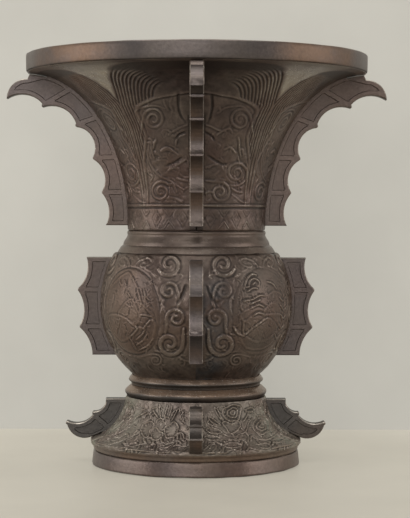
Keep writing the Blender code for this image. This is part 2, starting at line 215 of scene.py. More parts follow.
def make_patina_group():
    """Cloudy brown patina: darker in the hollows and in painted shade, polished bright on the edges and
    lighter in painted light, with fine pits and painted glints.
    """
    tree = bpy.data.node_groups.new("patina", "ShaderNodeTree")
    for name, colour in (("Brown", BROWN), ("Warm", WARM), ("Dust", DUST), ("Rubbed_And_Lit", RUBBED_AND_LIT),
                         ("Green", GREEN), ("Bright", BRIGHT)):
        group_input(tree, name, "Color", (*colour, 1.0))
    for name in ("Warm Share", "Dust Share", "Green Share", "Wear_And_Light", "Warmth", "Verdigris"):
        group_input(tree, name, "Float", 0.0)
    for name, kind in (("Color", "Color"), ("Roughness", "Float"), ("Height", "Float")):
        tree.interface.new_socket(name, in_out="OUTPUT", socket_type="NodeSocket" + kind)
    come = tree.nodes.new("NodeGroupInput").outputs
    wear_and_light_in = come["Wear_And_Light"]
    cloud = noise(tree, 22.0, 5.0)
    patch = noise(tree, 9.0, 4.0, 0.6)
    crust = noise(tree, 46.0, 6.0, 0.65)
    grain = noise(tree, 420.0, 3.0)
    speck = noise(tree, 900.0, 1.0)
    warm = sums(tree, "MULTIPLY", spread(tree, patch, 0.42, 0.62), come["Warm Share"])
    warm = sums(tree, "ADD", warm, sums(tree, "MULTIPLY", spread(tree, cloud, 0.35, 0.55), come["Warmth"]))
    colour = mix(tree, warm, come["Brown"], come["Warm"])
    dust = sums(tree, "MULTIPLY", spread(tree, cloud, 0.40, 0.66), come["Dust Share"])
    colour = mix(tree, dust, colour, come["Dust"])
    green = sums(tree, "ADD", come["Green Share"], come["Verdigris"])
    green = sums(tree, "MULTIPLY", spread(tree, crust, 0.40, 0.60), green)
    colour = mix(tree, green, colour, come["Green"])
    # Darker where the input is low: patina in the hollows, and painted shade
    hollow_and_shade = spread(tree, wear_and_light_in, 0.0, -0.5, 1.0, 0.38)
    shade = sums(tree, "MULTIPLY", hollow_and_shade, spread(tree, grain, 0.3, 0.7, 0.84, 1.14))
    tone = tree.nodes.new("ShaderNodeVectorMath")
    tone.operation = "SCALE"
    feed(tree, colour, tone.inputs[0])
    feed(tree, shade, tone.inputs["Scale"])
    # Paler where the input is high: polished edges, and painted light
    wear_and_light = sums(tree, "MULTIPLY", spread(tree, wear_and_light_in, 0.10, 0.80, 0.0, 0.85),
               spread(tree, cloud, 0.30, 0.60, 0.35, 1.0))
    colour = mix(tree, wear_and_light, tone.outputs["Vector"], come["Rubbed_And_Lit"])
    # Bright specks of exposed metal on polished edges, and a painted glint where the input is highest
    chips_and_glints = sums(tree, "MULTIPLY", spread(tree, speck, 0.64, 0.70),
                 spread(tree, wear_and_light_in, 0.15, 0.60, 0.0, 0.75))
    chips_and_glints = sums(tree, "MAXIMUM", chips_and_glints, spread(tree, wear_and_light_in, 1.25, 1.60, 0.0, 0.75))
    rough = sums(tree, "ADD", spread(tree, cloud, 0.3, 0.7, 0.28, 0.44),
                 spread(tree, wear_and_light_in, -0.4, 0.5, 0.12, -0.06))
    feed_all(tree, tree.nodes.new("NodeGroupOutput"), {
        "Color": mix(tree, chips_and_glints, colour, come["Bright"]),
        "Roughness": sums(tree, "ADD", rough, sums(tree, "MULTIPLY", green, 0.25)),
        "Height": sums(tree, "ADD", sums(tree, "MULTIPLY", grain, 0.7), sums(tree, "MULTIPLY", speck, 0.3))})
    return tree


patina = make_patina_group()


def bronze(name, brown, warm_share, dust_share, green_share=0.0, warm=WARM, green=GREEN, rubbed_and_lit=RUBBED_AND_LIT):
    """A bronze finish: the patina with one piece's own colours, polished and painted with light and shade
    where its mesh says so.
    """
    finish = bpy.data.materials.new(name)
    finish.use_nodes = True
    tree = finish.node_tree
    coat = tree.nodes.new("ShaderNodeGroup")
    coat.node_tree = patina
    feed_all(tree, coat, {
        "Brown": brown, "Warm": warm, "Rubbed_And_Lit": rubbed_and_lit, "Green": green,
        "Warm Share": warm_share, "Dust Share": dust_share, "Green Share": green_share})
    for socket, place in (("Wear_And_Light", "wear_and_light"), ("Warmth", "warmth"), ("Verdigris", "verdigris")):
        marked_tone = tree.nodes.new("ShaderNodeAttribute")
        marked_tone.attribute_name = place
        feed(tree, marked_tone.outputs["Fac"], coat.inputs[socket])
    bump = tree.nodes.new("ShaderNodeBump")
    feed_all(tree, bump, {"Strength": PIT_STRENGTH, "Distance": PIT_DEPTH, "Height": coat.outputs["Height"]})
    feed_all(tree, tree.nodes["Principled BSDF"], {
        "Base Color": coat.outputs["Color"], "Roughness": coat.outputs["Roughness"],
        "Metallic": METAL_SHARE, "Normal": bump.outputs["Normal"]})
    return finish


def waves(places, size, seed):
    """Slow random waves over places in mm, about 1 high, for metal that isn't quite true."""
    draw = np.random.default_rng(seed)
    count = 24
    total = np.zeros(places.shape[:-1])
    for _ in range(count):
        way = draw.normal(size=3)
        way *= math.tau / np.linalg.norm(way) / (size * draw.uniform(0.6, 1.8))
        total += np.sin(places @ way + draw.uniform(0.0, math.tau))
    return total / math.sqrt(count / 2.0)


def finished(shape, name, finish):
    """A mesh made from a bmesh: smooth but for its sharp edges, with its finish."""
    for edge in shape.edges:
        edge.smooth = edge.calc_face_angle(0.0) < SHARP_ANGLE
    for face in shape.faces:
        face.smooth = True
    mesh = bpy.data.meshes.new(name)
    shape.to_mesh(mesh)
    shape.free()
    mesh.materials.append(finish)
    return mesh


def places_of(mesh):
    """The places of a mesh's corners, a row for each."""
    places = np.empty(len(mesh.vertices) * 3)
    mesh.vertices.foreach_get("co", places)
    return places.reshape(-1, 3)


def mark(mesh, name, values):
    """Keep a value for each corner of a mesh, which its finish reads."""
    mesh.attributes.new(name, "FLOAT", "POINT").data.foreach_set("value", values.astype(np.float32))


def link_piece(name, mesh, node):
    """Put a finished mesh in the scene as a piece that stands for a CAD node."""
    piece = bpy.data.objects.new(name, mesh)
    scene.collection.objects.link(piece)
    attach(piece, "root")
    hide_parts(node)


def joined(shape, corners):
    """Edges that join corners in a ring."""
    return [shape.edges.new((corners[index - 1], corners[index])) for index in range(len(corners))]


def spun(shape, corners, angle, steps):
    """Join corners in a ring and sweep it round the vase's axis."""
    bmesh.ops.spin(shape, geom=corners + joined(shape, corners), axis=(0.0, 0.0, 1.0), cent=(0.0, 0.0, 0.0),
                   angle=angle, steps=steps, use_merge=angle == math.tau)


def set_ring(name, node, section, finish, uneven, worn_and_lit=0.45):
    """Set a ring turned from its section, a little uneven, with light from above painted on: its upward faces
    lighter, its downward faces darker.
    """
    shape = bmesh.new()
    corners = [shape.verts.new((radius * MM, 0.0, height * MM)) for radius, height in section]
    spun(shape, corners, math.tau, FULL_STEPS)
    bmesh.ops.recalc_face_normals(shape, faces=shape.faces)
    mesh = finished(shape, name, finish)
    places = places_of(mesh)
    normals = np.empty(len(mesh.vertices) * 3, np.float32)
    mesh.vertex_normals.foreach_get("vector", normals)
    normals = normals.reshape(-1, 3)
    places += normals * (uneven * MM * waves(places / MM, UNEVEN_SIZE, 3))[:, None]
    mesh.vertices.foreach_set("co", places.ravel())
    # Painted light and shade: lighter as the faces turn up, darker as they turn down
    mark(mesh, "wear_and_light", worn_and_lit * normals[:, 2])
    link_piece(name, mesh, node)
    return mesh


band_bronze = bronze("band_bronze", (0.120, 0.094, 0.086), 0.40, 0.30)
set_ring("foot_band_ring", "foot_band", BAND_FACE + [(BAND_BORE, 0.0), (BAND_BORE, 11.5)], band_bronze, 0.12)

# Foot: the flared lower casting, bronze cast from a carved pattern and chased. Peonies with
# leaves and roots cover its flare, and a plain lip closes it above the band.
FLARE_START = (56.3, 52.4)
FLARE_END = (84.2, 20.0)
FLARE_SAG = 6.3
FOOT_LIP = [(84.45, 19.2), (84.5, 18.2), (84.4, 17.0), (83.9, 15.9), (82.9, 14.9), (82.4, 14.0), (82.2, 12.6),
            (81.5, 11.8)]
PATH_STEP = 0.4
BATCH = 3000
FOOT_ROW = 0.36
FOOT_STEPS = 270
PLAIN_LIP_TOP = 17.3
DRAWN_STRETCH = 1.09


def arc(start, end, sagitta, steps):
    """Points on an arc after start, up to end, that bows by sagitta to the right of its chord."""
    run, rise = end[0] - start[0], end[1] - start[1]
    chord = math.hypot(run, rise)
    turn = 4.0 * math.atan(2.0 * sagitta / chord)
    part = turn * np.arange(1, steps + 1) / steps
    heading = math.atan2(rise, run) - turn / 2.0 + part / 2.0
    reach = chord * np.sin(part / 2.0) / math.sin(turn / 2.0)
    return list(zip(start[0] + reach * np.cos(heading), start[1] + reach * np.sin(heading)))


def run_along(points):
    """How far along a line each of its points is."""
    return np.concatenate([[0.0], np.cumsum(np.linalg.norm(np.diff(points, axis=0), axis=1))])


def even(points, spacing):
    """Points at even spacing along a line."""
    points = np.asarray(points, float)
    run = run_along(points)
    at = np.linspace(0.0, run[-1], max(2, int(round(run[-1] / spacing)) + 1))
    return np.stack([np.interp(at, run, column) for column in points.T], axis=1)


def flowing(points, closed=False):
    """A smooth line through drawn points, and back to the first of them if closed."""
    points = np.reshape(points, (-1, 2)).astype(float)
    if closed:
        points = np.concatenate([points[-1:], points, points[:2]])
    else:
        points = np.concatenate([2.0 * points[:1] - points[1:2], points, 2.0 * points[-1:] - points[-2:-1]])
    before, here, there, after = points[:-3, None], points[1:-2, None], points[2:-1, None], points[3:, None]
    share = np.linspace(0.0, 1.0, 9)[None, :-1, None]
    line = here + 0.5 * share * (there - before + share * (
        2.0 * before - 5.0 * here + 4.0 * there - after + share * (3.0 * (here - there) + after - before)))
    return np.concatenate([line.reshape(-1, 2), points[-2:-1]])


def open_sheet(outside, row, steps):
    """One quarter of a casting's outside, as rows of points on which a relief is raised."""
    section = even(outside, row)
    turn = np.linspace(0.0, math.pi / 2.0, steps + 1)
    radius, height = section[:, :1], section[:, 1:]
    place = np.stack([radius * np.cos(turn), radius * np.sin(turn), height + 0.0 * turn], axis=2)
    sheet = {name: np.zeros(place.shape[:2]) for name in ("high", "warmth", "verdigris")}
    sheet.update(section=section, turn=np.degrees(turn), place=place.astype(np.float32))
    return sheet


def radius_at(sheet, height):
    """The casting's outside radius at a height."""
    section = sheet["section"][::-1]
    return np.interp(height, section[:, 1], section[:, 0])


def laid(sheet, turned_line):
    """A line of turns in degrees and heights, laid on the casting's outside."""
    turn, height = np.asarray(turned_line, float).T
    radius, turn = radius_at(sheet, height), np.radians(turn)
    path = np.stack([radius * np.cos(turn), radius * np.sin(turn), height], axis=1)
    return even(path, PATH_STEP).astype(np.float32)


def smooth(low, high, value):
    """0 at low, 1 at high, and an easy slope between them."""
    share = np.clip((value - low) / (high - low), 0.0, 1.0)
    return share * share * (3.0 - 2.0 * share)


def near(sheet, turned_line, reach):
    """Which of a sheet's points lie near a line, how far off they are, and how far along it."""
    path = laid(sheet, turned_line)
    place = sheet["place"]
    spot = np.all((place > path.min(axis=0) - reach) & (place < path.max(axis=0) + reach), axis=2)
    points = place[spot]
    gap, along = np.empty(len(points)), np.empty(len(points))
    for first in range(0, len(points), BATCH):
        some = slice(first, first + BATCH)
        apart = ((points[some, None] - path[None]) ** 2).sum(axis=2)
        nearest = apart.argmin(axis=1)
        gap[some] = np.sqrt(apart[np.arange(len(apart)), nearest])
        along[some] = nearest / (len(path) - 1)
    return spot, gap, along


def ribbons(sheet, lines, half, rise, slope=0.95):
    """Raised bands along lines: each has a dished top, sides of a given slope and a sunk line beside it."""
    for line in lines:
        spot, gap, along = near(sheet, line, 3.0 * half)
        ratio = gap / (half * np.interp(along, (0.0, 0.15, 0.75, 1.0), (0.7, 1.0, 1.0, 0.75)))
        top = smooth(0.65 + slope, 0.65, ratio)
        crown = rise * (1.0 - 0.40 * smooth(0.8, 0.0, ratio))
        beside = 0.95 * rise * np.exp(-((ratio - 0.80 - slope) / 0.34) ** 2)
        sheet["high"][spot] = sheet["high"][spot] * (1.0 - top) + crown * top - beside * (1.0 - top)


def cuts(sheet, lines, half, depth):
    """Grooves cut along lines, which run out at their ends."""
    for line in lines:
        spot, gap, along = near(sheet, line, 2.5 * half)
        fade = np.interp(along, (0.0, 0.12, 0.8, 1.0), (0.3, 1.0, 1.0, 0.2))
        sheet["high"][spot] -= depth * fade * np.exp(-(gap / half) ** 2)


def strewn(sheet, seed, count, turns, heights, length):
    """Short curved lines strewn over part of a sheet, each as turns and heights."""
    draw = np.random.default_rng(seed)
    lines = []
    for _ in range(count):
        heading = draw.uniform(0.0, math.tau) + np.linspace(0.0, draw.uniform(-2.6, 2.6), 7)
        step = length * draw.uniform(0.6, 1.3) / 7.0
        height = draw.uniform(*heights) + np.cumsum(step * np.sin(heading))
        turn = draw.uniform(*turns) + np.degrees(np.cumsum(step * np.cos(heading)) / radius_at(sheet, height))
        lines.append(np.stack([turn, height], axis=1))
    return lines


def pad(sheet, turned_outline, rim, middle, fine=1.0):
    """A closed petal, leaf or hill over what is under it: a raised rim round its own middle."""
    spot, gap, _ = near(sheet, turned_outline, 4.0)
    rows, columns = np.nonzero(spot)
    turn, height = sheet["turn"][columns], sheet["section"][rows, 1]
    inside = np.zeros(len(gap), bool)
    for (turn_a, height_a), (turn_b, height_b) in zip(turned_outline, turned_outline[1:]):
        if height_a != height_b:
            crossing = turn_a + (height - height_a) / (height_b - height_a) * (turn_b - turn_a)
            inside ^= ((height_a > height) != (height_b > height)) & (turn < crossing)
    depth = np.where(inside, gap, -gap)
    under = np.where(inside, middle * smooth(0.0, 1.6, depth), sheet["high"][spot])
    edge = rim * np.exp(-((depth - 0.25) / (0.62 * fine)) ** 2)
    beside = 0.55 * rim * np.exp(-((depth + 1.25 * fine) / (0.55 * fine)) ** 2)
    sheet["high"][spot] = under + edge - beside


def blurred(field, times):
    """A relief with its sharpness taken off."""
    for _ in range(times):
        field = np.pad(field, 1, mode="edge")
        field = (field[:-2] + 2.0 * field[1:-1] + field[2:]) / 4.0
        field = (field[:, :-2] + 2.0 * field[:, 1:-1] + field[:, 2:]) / 4.0
    return field


def settled(sheet, deepest, tone=0.0, worn_and_lit=1.0):
    """Limit a relief's depth, and note where it is raised and polished, or sunk and darker with patina. A
    tone adds more by place: patina, polishing, and painted light and shade.
    """
    high = np.maximum(sheet["high"], -deepest)
    proud = np.clip((high - blurred(high, 14)) / 0.4, -1.0, 1.0)
    wear_and_light = np.where(proud > 0.0, worn_and_lit, 0.5 + 0.5 * worn_and_lit) * proud
    sheet["high"] = high
    sheet["wear_and_light"] = wear_and_light + tone + 0.06 * waves(sheet["place"], UNEVEN_SIZE, 9)


def cast_quarter(name, sheet, inside, finish):
    """A quarter's mesh: its section turned through a right angle, capped, with the relief raised."""
    section = sheet["section"]
    steps = len(sheet["turn"]) - 1
    shape = bmesh.new()
    row_layer = shape.verts.layers.int.new("row")
    corners = []
    for row, (radius, height) in enumerate([*section, *inside]):
        corner = shape.verts.new((radius * MM, 0.0, height * MM))
        corner[row_layer] = row if row < len(section) else -1
        corners.append(corner)
    spun(shape, corners, math.pi / 2.0, steps)
    ends = [edge for edge in shape.edges if edge.is_boundary]
    bmesh.ops.triangulate(shape, faces=bmesh.ops.holes_fill(shape, edges=ends, sides=0)["faces"])
    bmesh.ops.recalc_face_normals(shape, faces=shape.faces)
    mesh = finished(shape, name, finish)
    rows = np.empty(len(mesh.vertices), np.int32)
    mesh.attributes["row"].data.foreach_get("value", rows)
    mesh.attributes.remove(mesh.attributes["row"])
    places = places_of(mesh)
    turn = np.arctan2(places[:, 1], places[:, 0])
    step = np.clip(np.rint(turn / (math.pi / 2.0) * steps), 0, steps).astype(int)
    out = rows >= 0
    run = np.gradient(section, axis=0)
    run /= np.linalg.norm(run, axis=1)[:, None]
    lift = sheet["high"][rows[out], step[out]] * MM
    places[out, 0] -= lift * run[rows[out], 1] * np.cos(turn[out])
    places[out, 1] -= lift * run[rows[out], 1] * np.sin(turn[out])
    places[out, 2] += lift * run[rows[out], 0]
    mesh.vertices.foreach_set("co", places.ravel())
    for kind in ("wear_and_light", "warmth", "verdigris"):
        values = np.zeros(len(rows))
        values[out] = sheet[kind][rows[out], step[out]]
        mark(mesh, kind, values)
    return mesh


def set_turned(name, mesh, degrees, node):
    """Turn a copy of a mesh to its place round the vase, and link it as a piece."""
    turned_mesh = mesh.copy()
    turned_mesh.transform(Matrix.Rotation(math.radians(degrees), 4, "Z"))
    turned_mesh.update()
    link_piece(name, turned_mesh, node)


def set_quarters(casting, first, second):
    """Set a casting's four quarters: the first kind front left and opposite, the second between."""
    for name, degrees, mesh in (("front_left", 180.0, first), ("back_right", 0.0, first),
                                ("front_right", -90.0, second), ("back_left", 90.0, second)):
        set_turned(casting + "_" + name, mesh, degrees, casting)


# Lines of the peonies: pairs of a turn from the flange, in degrees, and a height, in mm
OPEN_PEONY_PETALS = [
    (70.2, 42.6, 68.4, 47.3, 60.9, 49.9, 56.7, 47.2, 58, 42.4, 63, 39.4),
    (65.6, 43.1, 63.9, 46.7, 60.1, 46.4, 60.1, 42.9),
    (41.2, 34.5, 39.8, 38.7, 35.5, 40.1, 31.7, 38.5, 31.6, 35.7, 32.9, 33.9, 32.2, 30.7, 35.4, 29.9),
    (22.2, 35.8, 20, 38.7, 16.3, 40.7, 12.8, 38.7, 11.8, 35.7, 13.2, 32.4, 15.7, 30.6, 19, 30),
    (31.3, 31.7, 31.2, 34.8, 28.9, 36.4, 25.3, 34.4, 22.2, 32.8, 22.1, 30.3, 24, 28.8, 27.1, 28.8)]
OPEN_PEONY_LEAVES = [
    (11.7, 42.6, 10.9, 45.8, 9.1, 48, 9.5, 45.2, 10.6, 42.4), (10.4, 34.4, 8.3, 32.8, 7.4, 28.7, 9.5, 31.1),
    (25.4, 23.4, 26.7, 25.5, 24.1, 26.4, 23.1, 23.8),
    (22.9, 25.9, 19.2, 25.9, 15.9, 27.4, 12.3, 28, 15.3, 25.4, 18.3, 24.4),
    (20.5, 22.4, 16.6, 21.8, 13.1, 22.4, 16, 23.4, 19.1, 23.6),
    (11.2, 23.8, 8.3, 25.8, 4.6, 25.7, 6.7, 23.4, 9.5, 22.4),
    (41.2, 24.5, 39.8, 26.1, 35.6, 25.7, 36.6, 23.7), (61.9, 24.7, 59.7, 27, 53.9, 28, 55.8, 25.5),
    (68.6, 22.4, 66.2, 24.4, 57.9, 24.6, 59.1, 22.5), (83, 33, 79, 36.4, 73, 36, 77, 32.6),
    (84, 42, 81, 46.5, 76, 47, 79, 42.4)]
OPEN_PEONY_STEMS = [
    (77.6, 24.3, 66.8, 27.3, 59, 30.3, 56, 33.4, 54.5, 37.1),
    (54.9, 22.7, 50.3, 25.4, 45.8, 28.7, 40.6, 32.3), (44.4, 22, 40.2, 23, 35.8, 24.6, 30, 26.2),
    (38.6, 22, 34.7, 22.2, 29.2, 22.2, 24.2, 21.9), (52.1, 38.7, 50.3, 41.9, 45.8, 44.1, 40.9, 46.2),
    (42.3, 41.5, 41.6, 43.8, 39.5, 44.6), (36.2, 41.2, 35.9, 43.9, 32.2, 45.2, 29.8, 43.2),
    (30.1, 39.2, 29.4, 41.6, 25.9, 42.4, 24.2, 40), (24.7, 40.8, 24, 43.2, 20.7, 43.4, 19.4, 41.1),
    (27, 42.4, 28.8, 47, 30, 51.4), (24.2, 43.4, 23.4, 48.4, 22.5, 51.8),
    (20.7, 43.4, 19.7, 47.5, 18.9, 51.4), (29.6, 42.7, 32.4, 45.2, 35.6, 47.9),
    (17.9, 41.7, 15.8, 46, 14, 50.1), (74, 30, 70, 33.5, 67, 38), (86, 26, 81, 29, 76, 31)]
FULL_PEONY_PETALS = [
    (19.7, 39.8, 21.7, 35.6, 24.6, 33, 29.6, 34.2, 33.8, 37.5, 32.3, 40.2, 26.6, 39, 22.9, 40.9),
    (21.4, 45.8, 22.7, 49.6, 26.4, 51.4, 31.6, 51.8, 37.2, 51, 38.9, 48.3, 36.6, 44.1, 32, 41.1, 26.8, 40.3,
     23.1, 42.2),
    (24.7, 45.6, 26.5, 48.8, 30.7, 49.9, 34.5, 48.7, 34.8, 45.8, 31.2, 43.2, 26.7, 43.3),
    (27.8, 46.2, 29.3, 48, 31.9, 47.6, 31.8, 45.5, 29.2, 44.6),
    (44.4, 35, 49, 39.8, 55.8, 42.1, 64.8, 40.8, 68.4, 36.8, 59.6, 32.3, 50.4, 30.3, 45.4, 31.4),
    (48, 35.3, 52.5, 38.6, 59.1, 39.2, 62.2, 36.7, 57, 33.5, 50.5, 32.5),
    (51.3, 35.4, 55.3, 37.1, 57.2, 36, 54.4, 34.2)]
FULL_PEONY_LEAVES = [
    (14.7, 50.6, 17.3, 49.1, 19.1, 45.3, 19.4, 41.9, 17.2, 44.8, 15.4, 48.1),
    (9.3, 44.4, 12.7, 43, 15.9, 41, 18.4, 38.4, 13.8, 39.2, 10.6, 41.4),
    (7, 36.1, 10.8, 37.2, 14.9, 36.3, 18.3, 34, 13.7, 32.9, 9.3, 33.7),
    (5.1, 31.2, 9.1, 32.3, 13.1, 31.6, 15.9, 30.3, 12, 29.1, 8.3, 29.4),
    (16.4, 25.9, 20.4, 27.4, 24.8, 27.3, 27.7, 25.4, 23.2, 24.5, 19.1, 24.5),
    (37.6, 24.7, 43.3, 25.4, 46.4, 23.9, 39.5, 22.5), (51.6, 26, 59.8, 27, 64.8, 25.5, 55, 24.4),
    (81.3, 33.8, 86, 35.1, 88, 32.5, 84.5, 30.2), (42.4, 47.2, 47.7, 48.9, 53.2, 47.3, 47.8, 45.4),
    (70, 44, 75, 47.8, 82, 46.4, 76, 43), (72, 24.2, 78, 26.4, 84, 25.2, 78, 22.8)]
FULL_PEONY_STEMS = [
    (4.3, 23.8, 9.3, 27.1, 14.2, 29, 20.2, 29.6, 25.8, 28.5, 31.4, 29.2),
    (18.3, 33, 21.8, 31.3, 25.7, 30.6, 30.2, 32.1),
    (5, 22, 7.7, 22.2, 9.7, 22, 9, 23, 11.2, 24.7, 11.4, 26.8, 9.2, 26.3, 7.7, 24.4),
    (13, 25.3, 13.7, 23.4, 12, 22.2, 14.4, 21.8, 17, 22.2), (16.9, 22.9, 20.3, 23.4, 23.1, 22.6, 24.6, 21.8),
    (26.9, 22.4, 30.5, 23.8, 33, 22.8, 35, 22), (31.8, 32.2, 36.6, 33.8, 42.3, 38.9, 47.7, 41.5),
    (38.2, 30.7, 41.2, 28.2, 48.1, 27, 59.5, 28.3, 75.4, 30.4), (37.3, 40, 42.8, 43.4, 45.3, 45.8),
    (44, 22.2, 52, 22.6, 58, 22.4, 66, 22.8), (66, 31.6, 72, 35.6, 76, 40.4, 75, 43),
    (33.4, 27.4, 36, 30.4, 35.6, 33.4)]

flare = [FLARE_START] + arc(FLARE_START, FLARE_END, FLARE_SAG, 24)
foot_inside = [(75.7, 11.8), (75.7, 5.0), (71.7, 5.0), (71.7, 20.5)]
foot_inside += arc(foot_inside[-1], (52.0, 47.5), -5.2, 12)
foot_inside += [(45.6, 52.5), (45.6, 68.6), (49.6, 68.6), (49.6, 53.9)]
# Its green is the verdigris colour, made pale enough to paint the side light on it
foot_bronze = bronze("foot_bronze", (0.145, 0.114, 0.097), 0.25, 0.60, 0.20, green=(0.225, 0.221, 0.176))


def veined(sheet, outline):
    """A leaf's veins: one down its middle and three fine ones to each side."""
    count = len(outline) - 1
    tip, middle, root = outline[0], outline.mean(axis=0), outline[count // 2]
    cuts(sheet, [[tip, middle, root]], 0.42, 0.4)
    for share in (0.25, 0.5, 0.75):
        spine = tip + (root - tip) * share
        for rim in (outline[int(count * 0.5 * share)], outline[int(count * (1.0 - 0.5 * share))]):
            cuts(sheet, [[spine, spine + 0.8 * (rim - spine)]], 0.36, 0.22)


def frilled(outline):
    """A petal's outline with a frilled edge."""
    middle = outline.mean(axis=0)
    way = np.arctan2(outline[:, 1] - middle[1], outline[:, 0] - middle[0])
    frill = 1.0 + 0.07 * np.sin(3.0 * way + middle[0]) + 0.04 * np.sin(5.0 * way)
    return middle + (outline - middle) * frill[:, None]


def pleated(sheet, outline):
    """A petal's fine pleats, which run in from its rim."""
    middle = outline.mean(axis=0)
    pleats = [[rim + 0.15 * (middle - rim), rim + 0.55 * (middle - rim)] for rim in outline[::5]]
    cuts(sheet, pleats, 0.38, 0.28)


def peony_quarter(name, petals, leaves, stems, from_far_end):
    """A quarter of the foot with its peonies, drawn from the flange at one of its ends."""
    sheet = open_sheet([(55.6, 53.9)] + flare + FOOT_LIP, FOOT_ROW, FOOT_STEPS)
    sheet["high"] += 0.14 * waves(sheet["place"], 9.0, 5) + 0.06 * waves(sheet["place"], 4.0, 6)

    def drawn(line, closed):
        line = flowing(line, closed)
        if from_far_end:
            line[:, 0] = 90.0 - line[:, 0]
        line[:, 1] = FLARE_START[1] + DRAWN_STRETCH * (line[:, 1] - FLARE_START[1])
        return line

    chasing = strewn(sheet, seed=21, count=150, turns=(2.0, 88.0), heights=(19.5, 51.0), length=6.0)
    ribbons(sheet, chasing, 0.42, 0.40)
    roots = strewn(sheet, seed=26, count=34, turns=(3.0, 87.0), heights=(19.5, 27.0), length=10.0)
    ribbons(sheet, roots, 0.75, 0.62)
    ribbons(sheet, [drawn(line, False) for line in stems], 0.50, 0.65)
    for line in leaves:
        outline = drawn(line, True)
        pad(sheet, outline, 0.60, -0.15, 0.58)
        veined(sheet, outline)
    for line in petals:
        outline = frilled(drawn(line, True))
        pad(sheet, outline, 0.62, -0.25, 0.60)
        pleated(sheet, outline)
    plain = smooth(PLAIN_LIP_TOP, PLAIN_LIP_TOP - 1.0, sheet["section"][:, 1])[:, None]
    sheet["high"] = 1.35 * blurred(sheet["high"], 1) * (1.0 - plain)
    # Near each side flange the foot carries verdigris and is painted lighter, as light from the sides
    crust_and_side_light = smooth(40.0, 75.0, 90.0 - sheet["turn"] if from_far_end else sheet["turn"])
    sheet["verdigris"] += 1.2 * crust_and_side_light * (1.0 - plain) - 0.24 * plain
    sheet["warmth"] += 0.6 * plain
    settled(sheet, 0.9, (0.08 + 0.32 * crust_and_side_light) * (1.0 - plain) + 0.06 * plain, 0.72)
    return cast_quarter(name, sheet, foot_inside, foot_bronze)


open_peony = peony_quarter("open_peony", OPEN_PEONY_PETALS, OPEN_PEONY_LEAVES, OPEN_PEONY_STEMS, True)
full_peony = peony_quarter("full_peony", FULL_PEONY_PETALS, FULL_PEONY_LEAVES, FULL_PEONY_STEMS, False)
set_quarters("foot", open_peony, full_peony)

# Foot flanges: four flat bronze fins, cast on their own and let into the foot's flare.
# Their scalloped edges are thick, and shallow panels are sunk in both sides between ribs.
SIDES = {"front": -90.0, "right": 0.0, "back": 90.0, "left": 180.0}
FLANGE_THICKNESS = 10.5
EDGE_ROUND = 0.7
PANEL_DEPTH = 1.1
PANEL_SLOPE = 0.5
BORDER = 3.8
RIB = 4.4
LET_IN = 1.7
# Marks on the flange's faces: painted shade under the edge, painted light on its upward faces, and polish on
# the rounded edges and panels
EDGE_UNDERSIDE_SHADE = 0.7
UPWARD_FACE_LIGHT = 0.9
ROUND_WEAR = 0.30
SLOPE_WEAR = 0.15
FLOOR_WEAR = -0.06
FACE_WEAR = 0.02
SAME_POINT = 0.15
SCALLOP_STEPS = 10
TIP = (0.5, 1.3)
FOOT_EDGE = [(72.4, 51.5), (83.2, 39.6, 3.6), (103.2, 33.2, 3.9), (103.4, 30.4, -1.2), (86.0, 20.0, -4.2)]
FOOT_RIBS = [(83.2, 39.6, 222.0)]
LET_POINTS = 15


def moved(points, distance):
    """A line of points, moved by distance to its right."""
    points = np.asarray(points, float)
    run = np.gradient(points, axis=0)
    run /= np.linalg.norm(run, axis=1)[:, None]
    return (points + distance * run[:, ::-1] * (1.0, -1.0)).tolist()


def shrunk(outline, distance):
    """A closed outline, moved in by distance."""
    return moved([outline[-1]] + list(outline) + [outline[0]], distance)[1:-1]


def scalloped(edge):
    """The points of a flange's edge, with its arcs worked out."""
    points = [edge[0]]
    for index, (radius, height, sagitta) in enumerate(edge[1:], 1):
        peaked = index + 1 < len(edge) and sagitta > 0.0 and edge[index + 1][2] > 0.0
        end = (radius - TIP[0], height + TIP[1]) if peaked else (radius, height)
        points.extend(arc(points[-1], end, sagitta, SCALLOP_STEPS))
        if peaked:
            points += [(radius, height + 0.6 * TIP[1]), (radius, height - 0.6 * TIP[1]),
                       (radius - TIP[0], height - TIP[1])]
    return points


def clipped(outline, point, degrees):
    """The part of an outline that lies to the right of a line through a point."""
    outline = np.asarray(outline, float)
    depths = (outline - point) @ (math.sin(math.radians(degrees)), -math.cos(math.radians(degrees)))
    kept = []
    for index, (here, depth) in enumerate(zip(outline, depths)):
        there, depth_there = outline[index - 1], depths[index - 1]
        if (depth > 0.0) != (depth_there > 0.0):
            kept.append(there + (here - there) * depth_there / (depth_there - depth))
        if depth > 0.0:
            kept.append(here)
    return kept


def bordered(edge):
    """A flange's edge moved in by the border, without the points that come too near to it."""
    kept = []
    for radius, height in moved(edge, BORDER):
        if min(math.hypot(radius - r, height - h) for r, h in edge) > 0.93 * BORDER:
            kept.append((radius, height))
    return kept


def panels_of(whole, ribs):
    """The flange's sunk panels, from the top: what is left of the whole between its ribs."""
    panels = []
    rest = whole
    for radius, height, degrees in ribs:
        aside = math.radians(degrees + 90.0)
        half = (RIB / 2.0 * math.cos(aside), RIB / 2.0 * math.sin(aside))
        panels.append(clipped(rest, (radius - half[0], height - half[1]), degrees))
        rest = clipped(rest, (radius + half[0], height + half[1]), degrees + 180.0)
    return panels + [rest]


def spaced(outline):
    """An outline without points that lie on each other."""
    return [here for index, here in enumerate(outline) if math.dist(here, outline[index - 1]) > SAME_POINT]


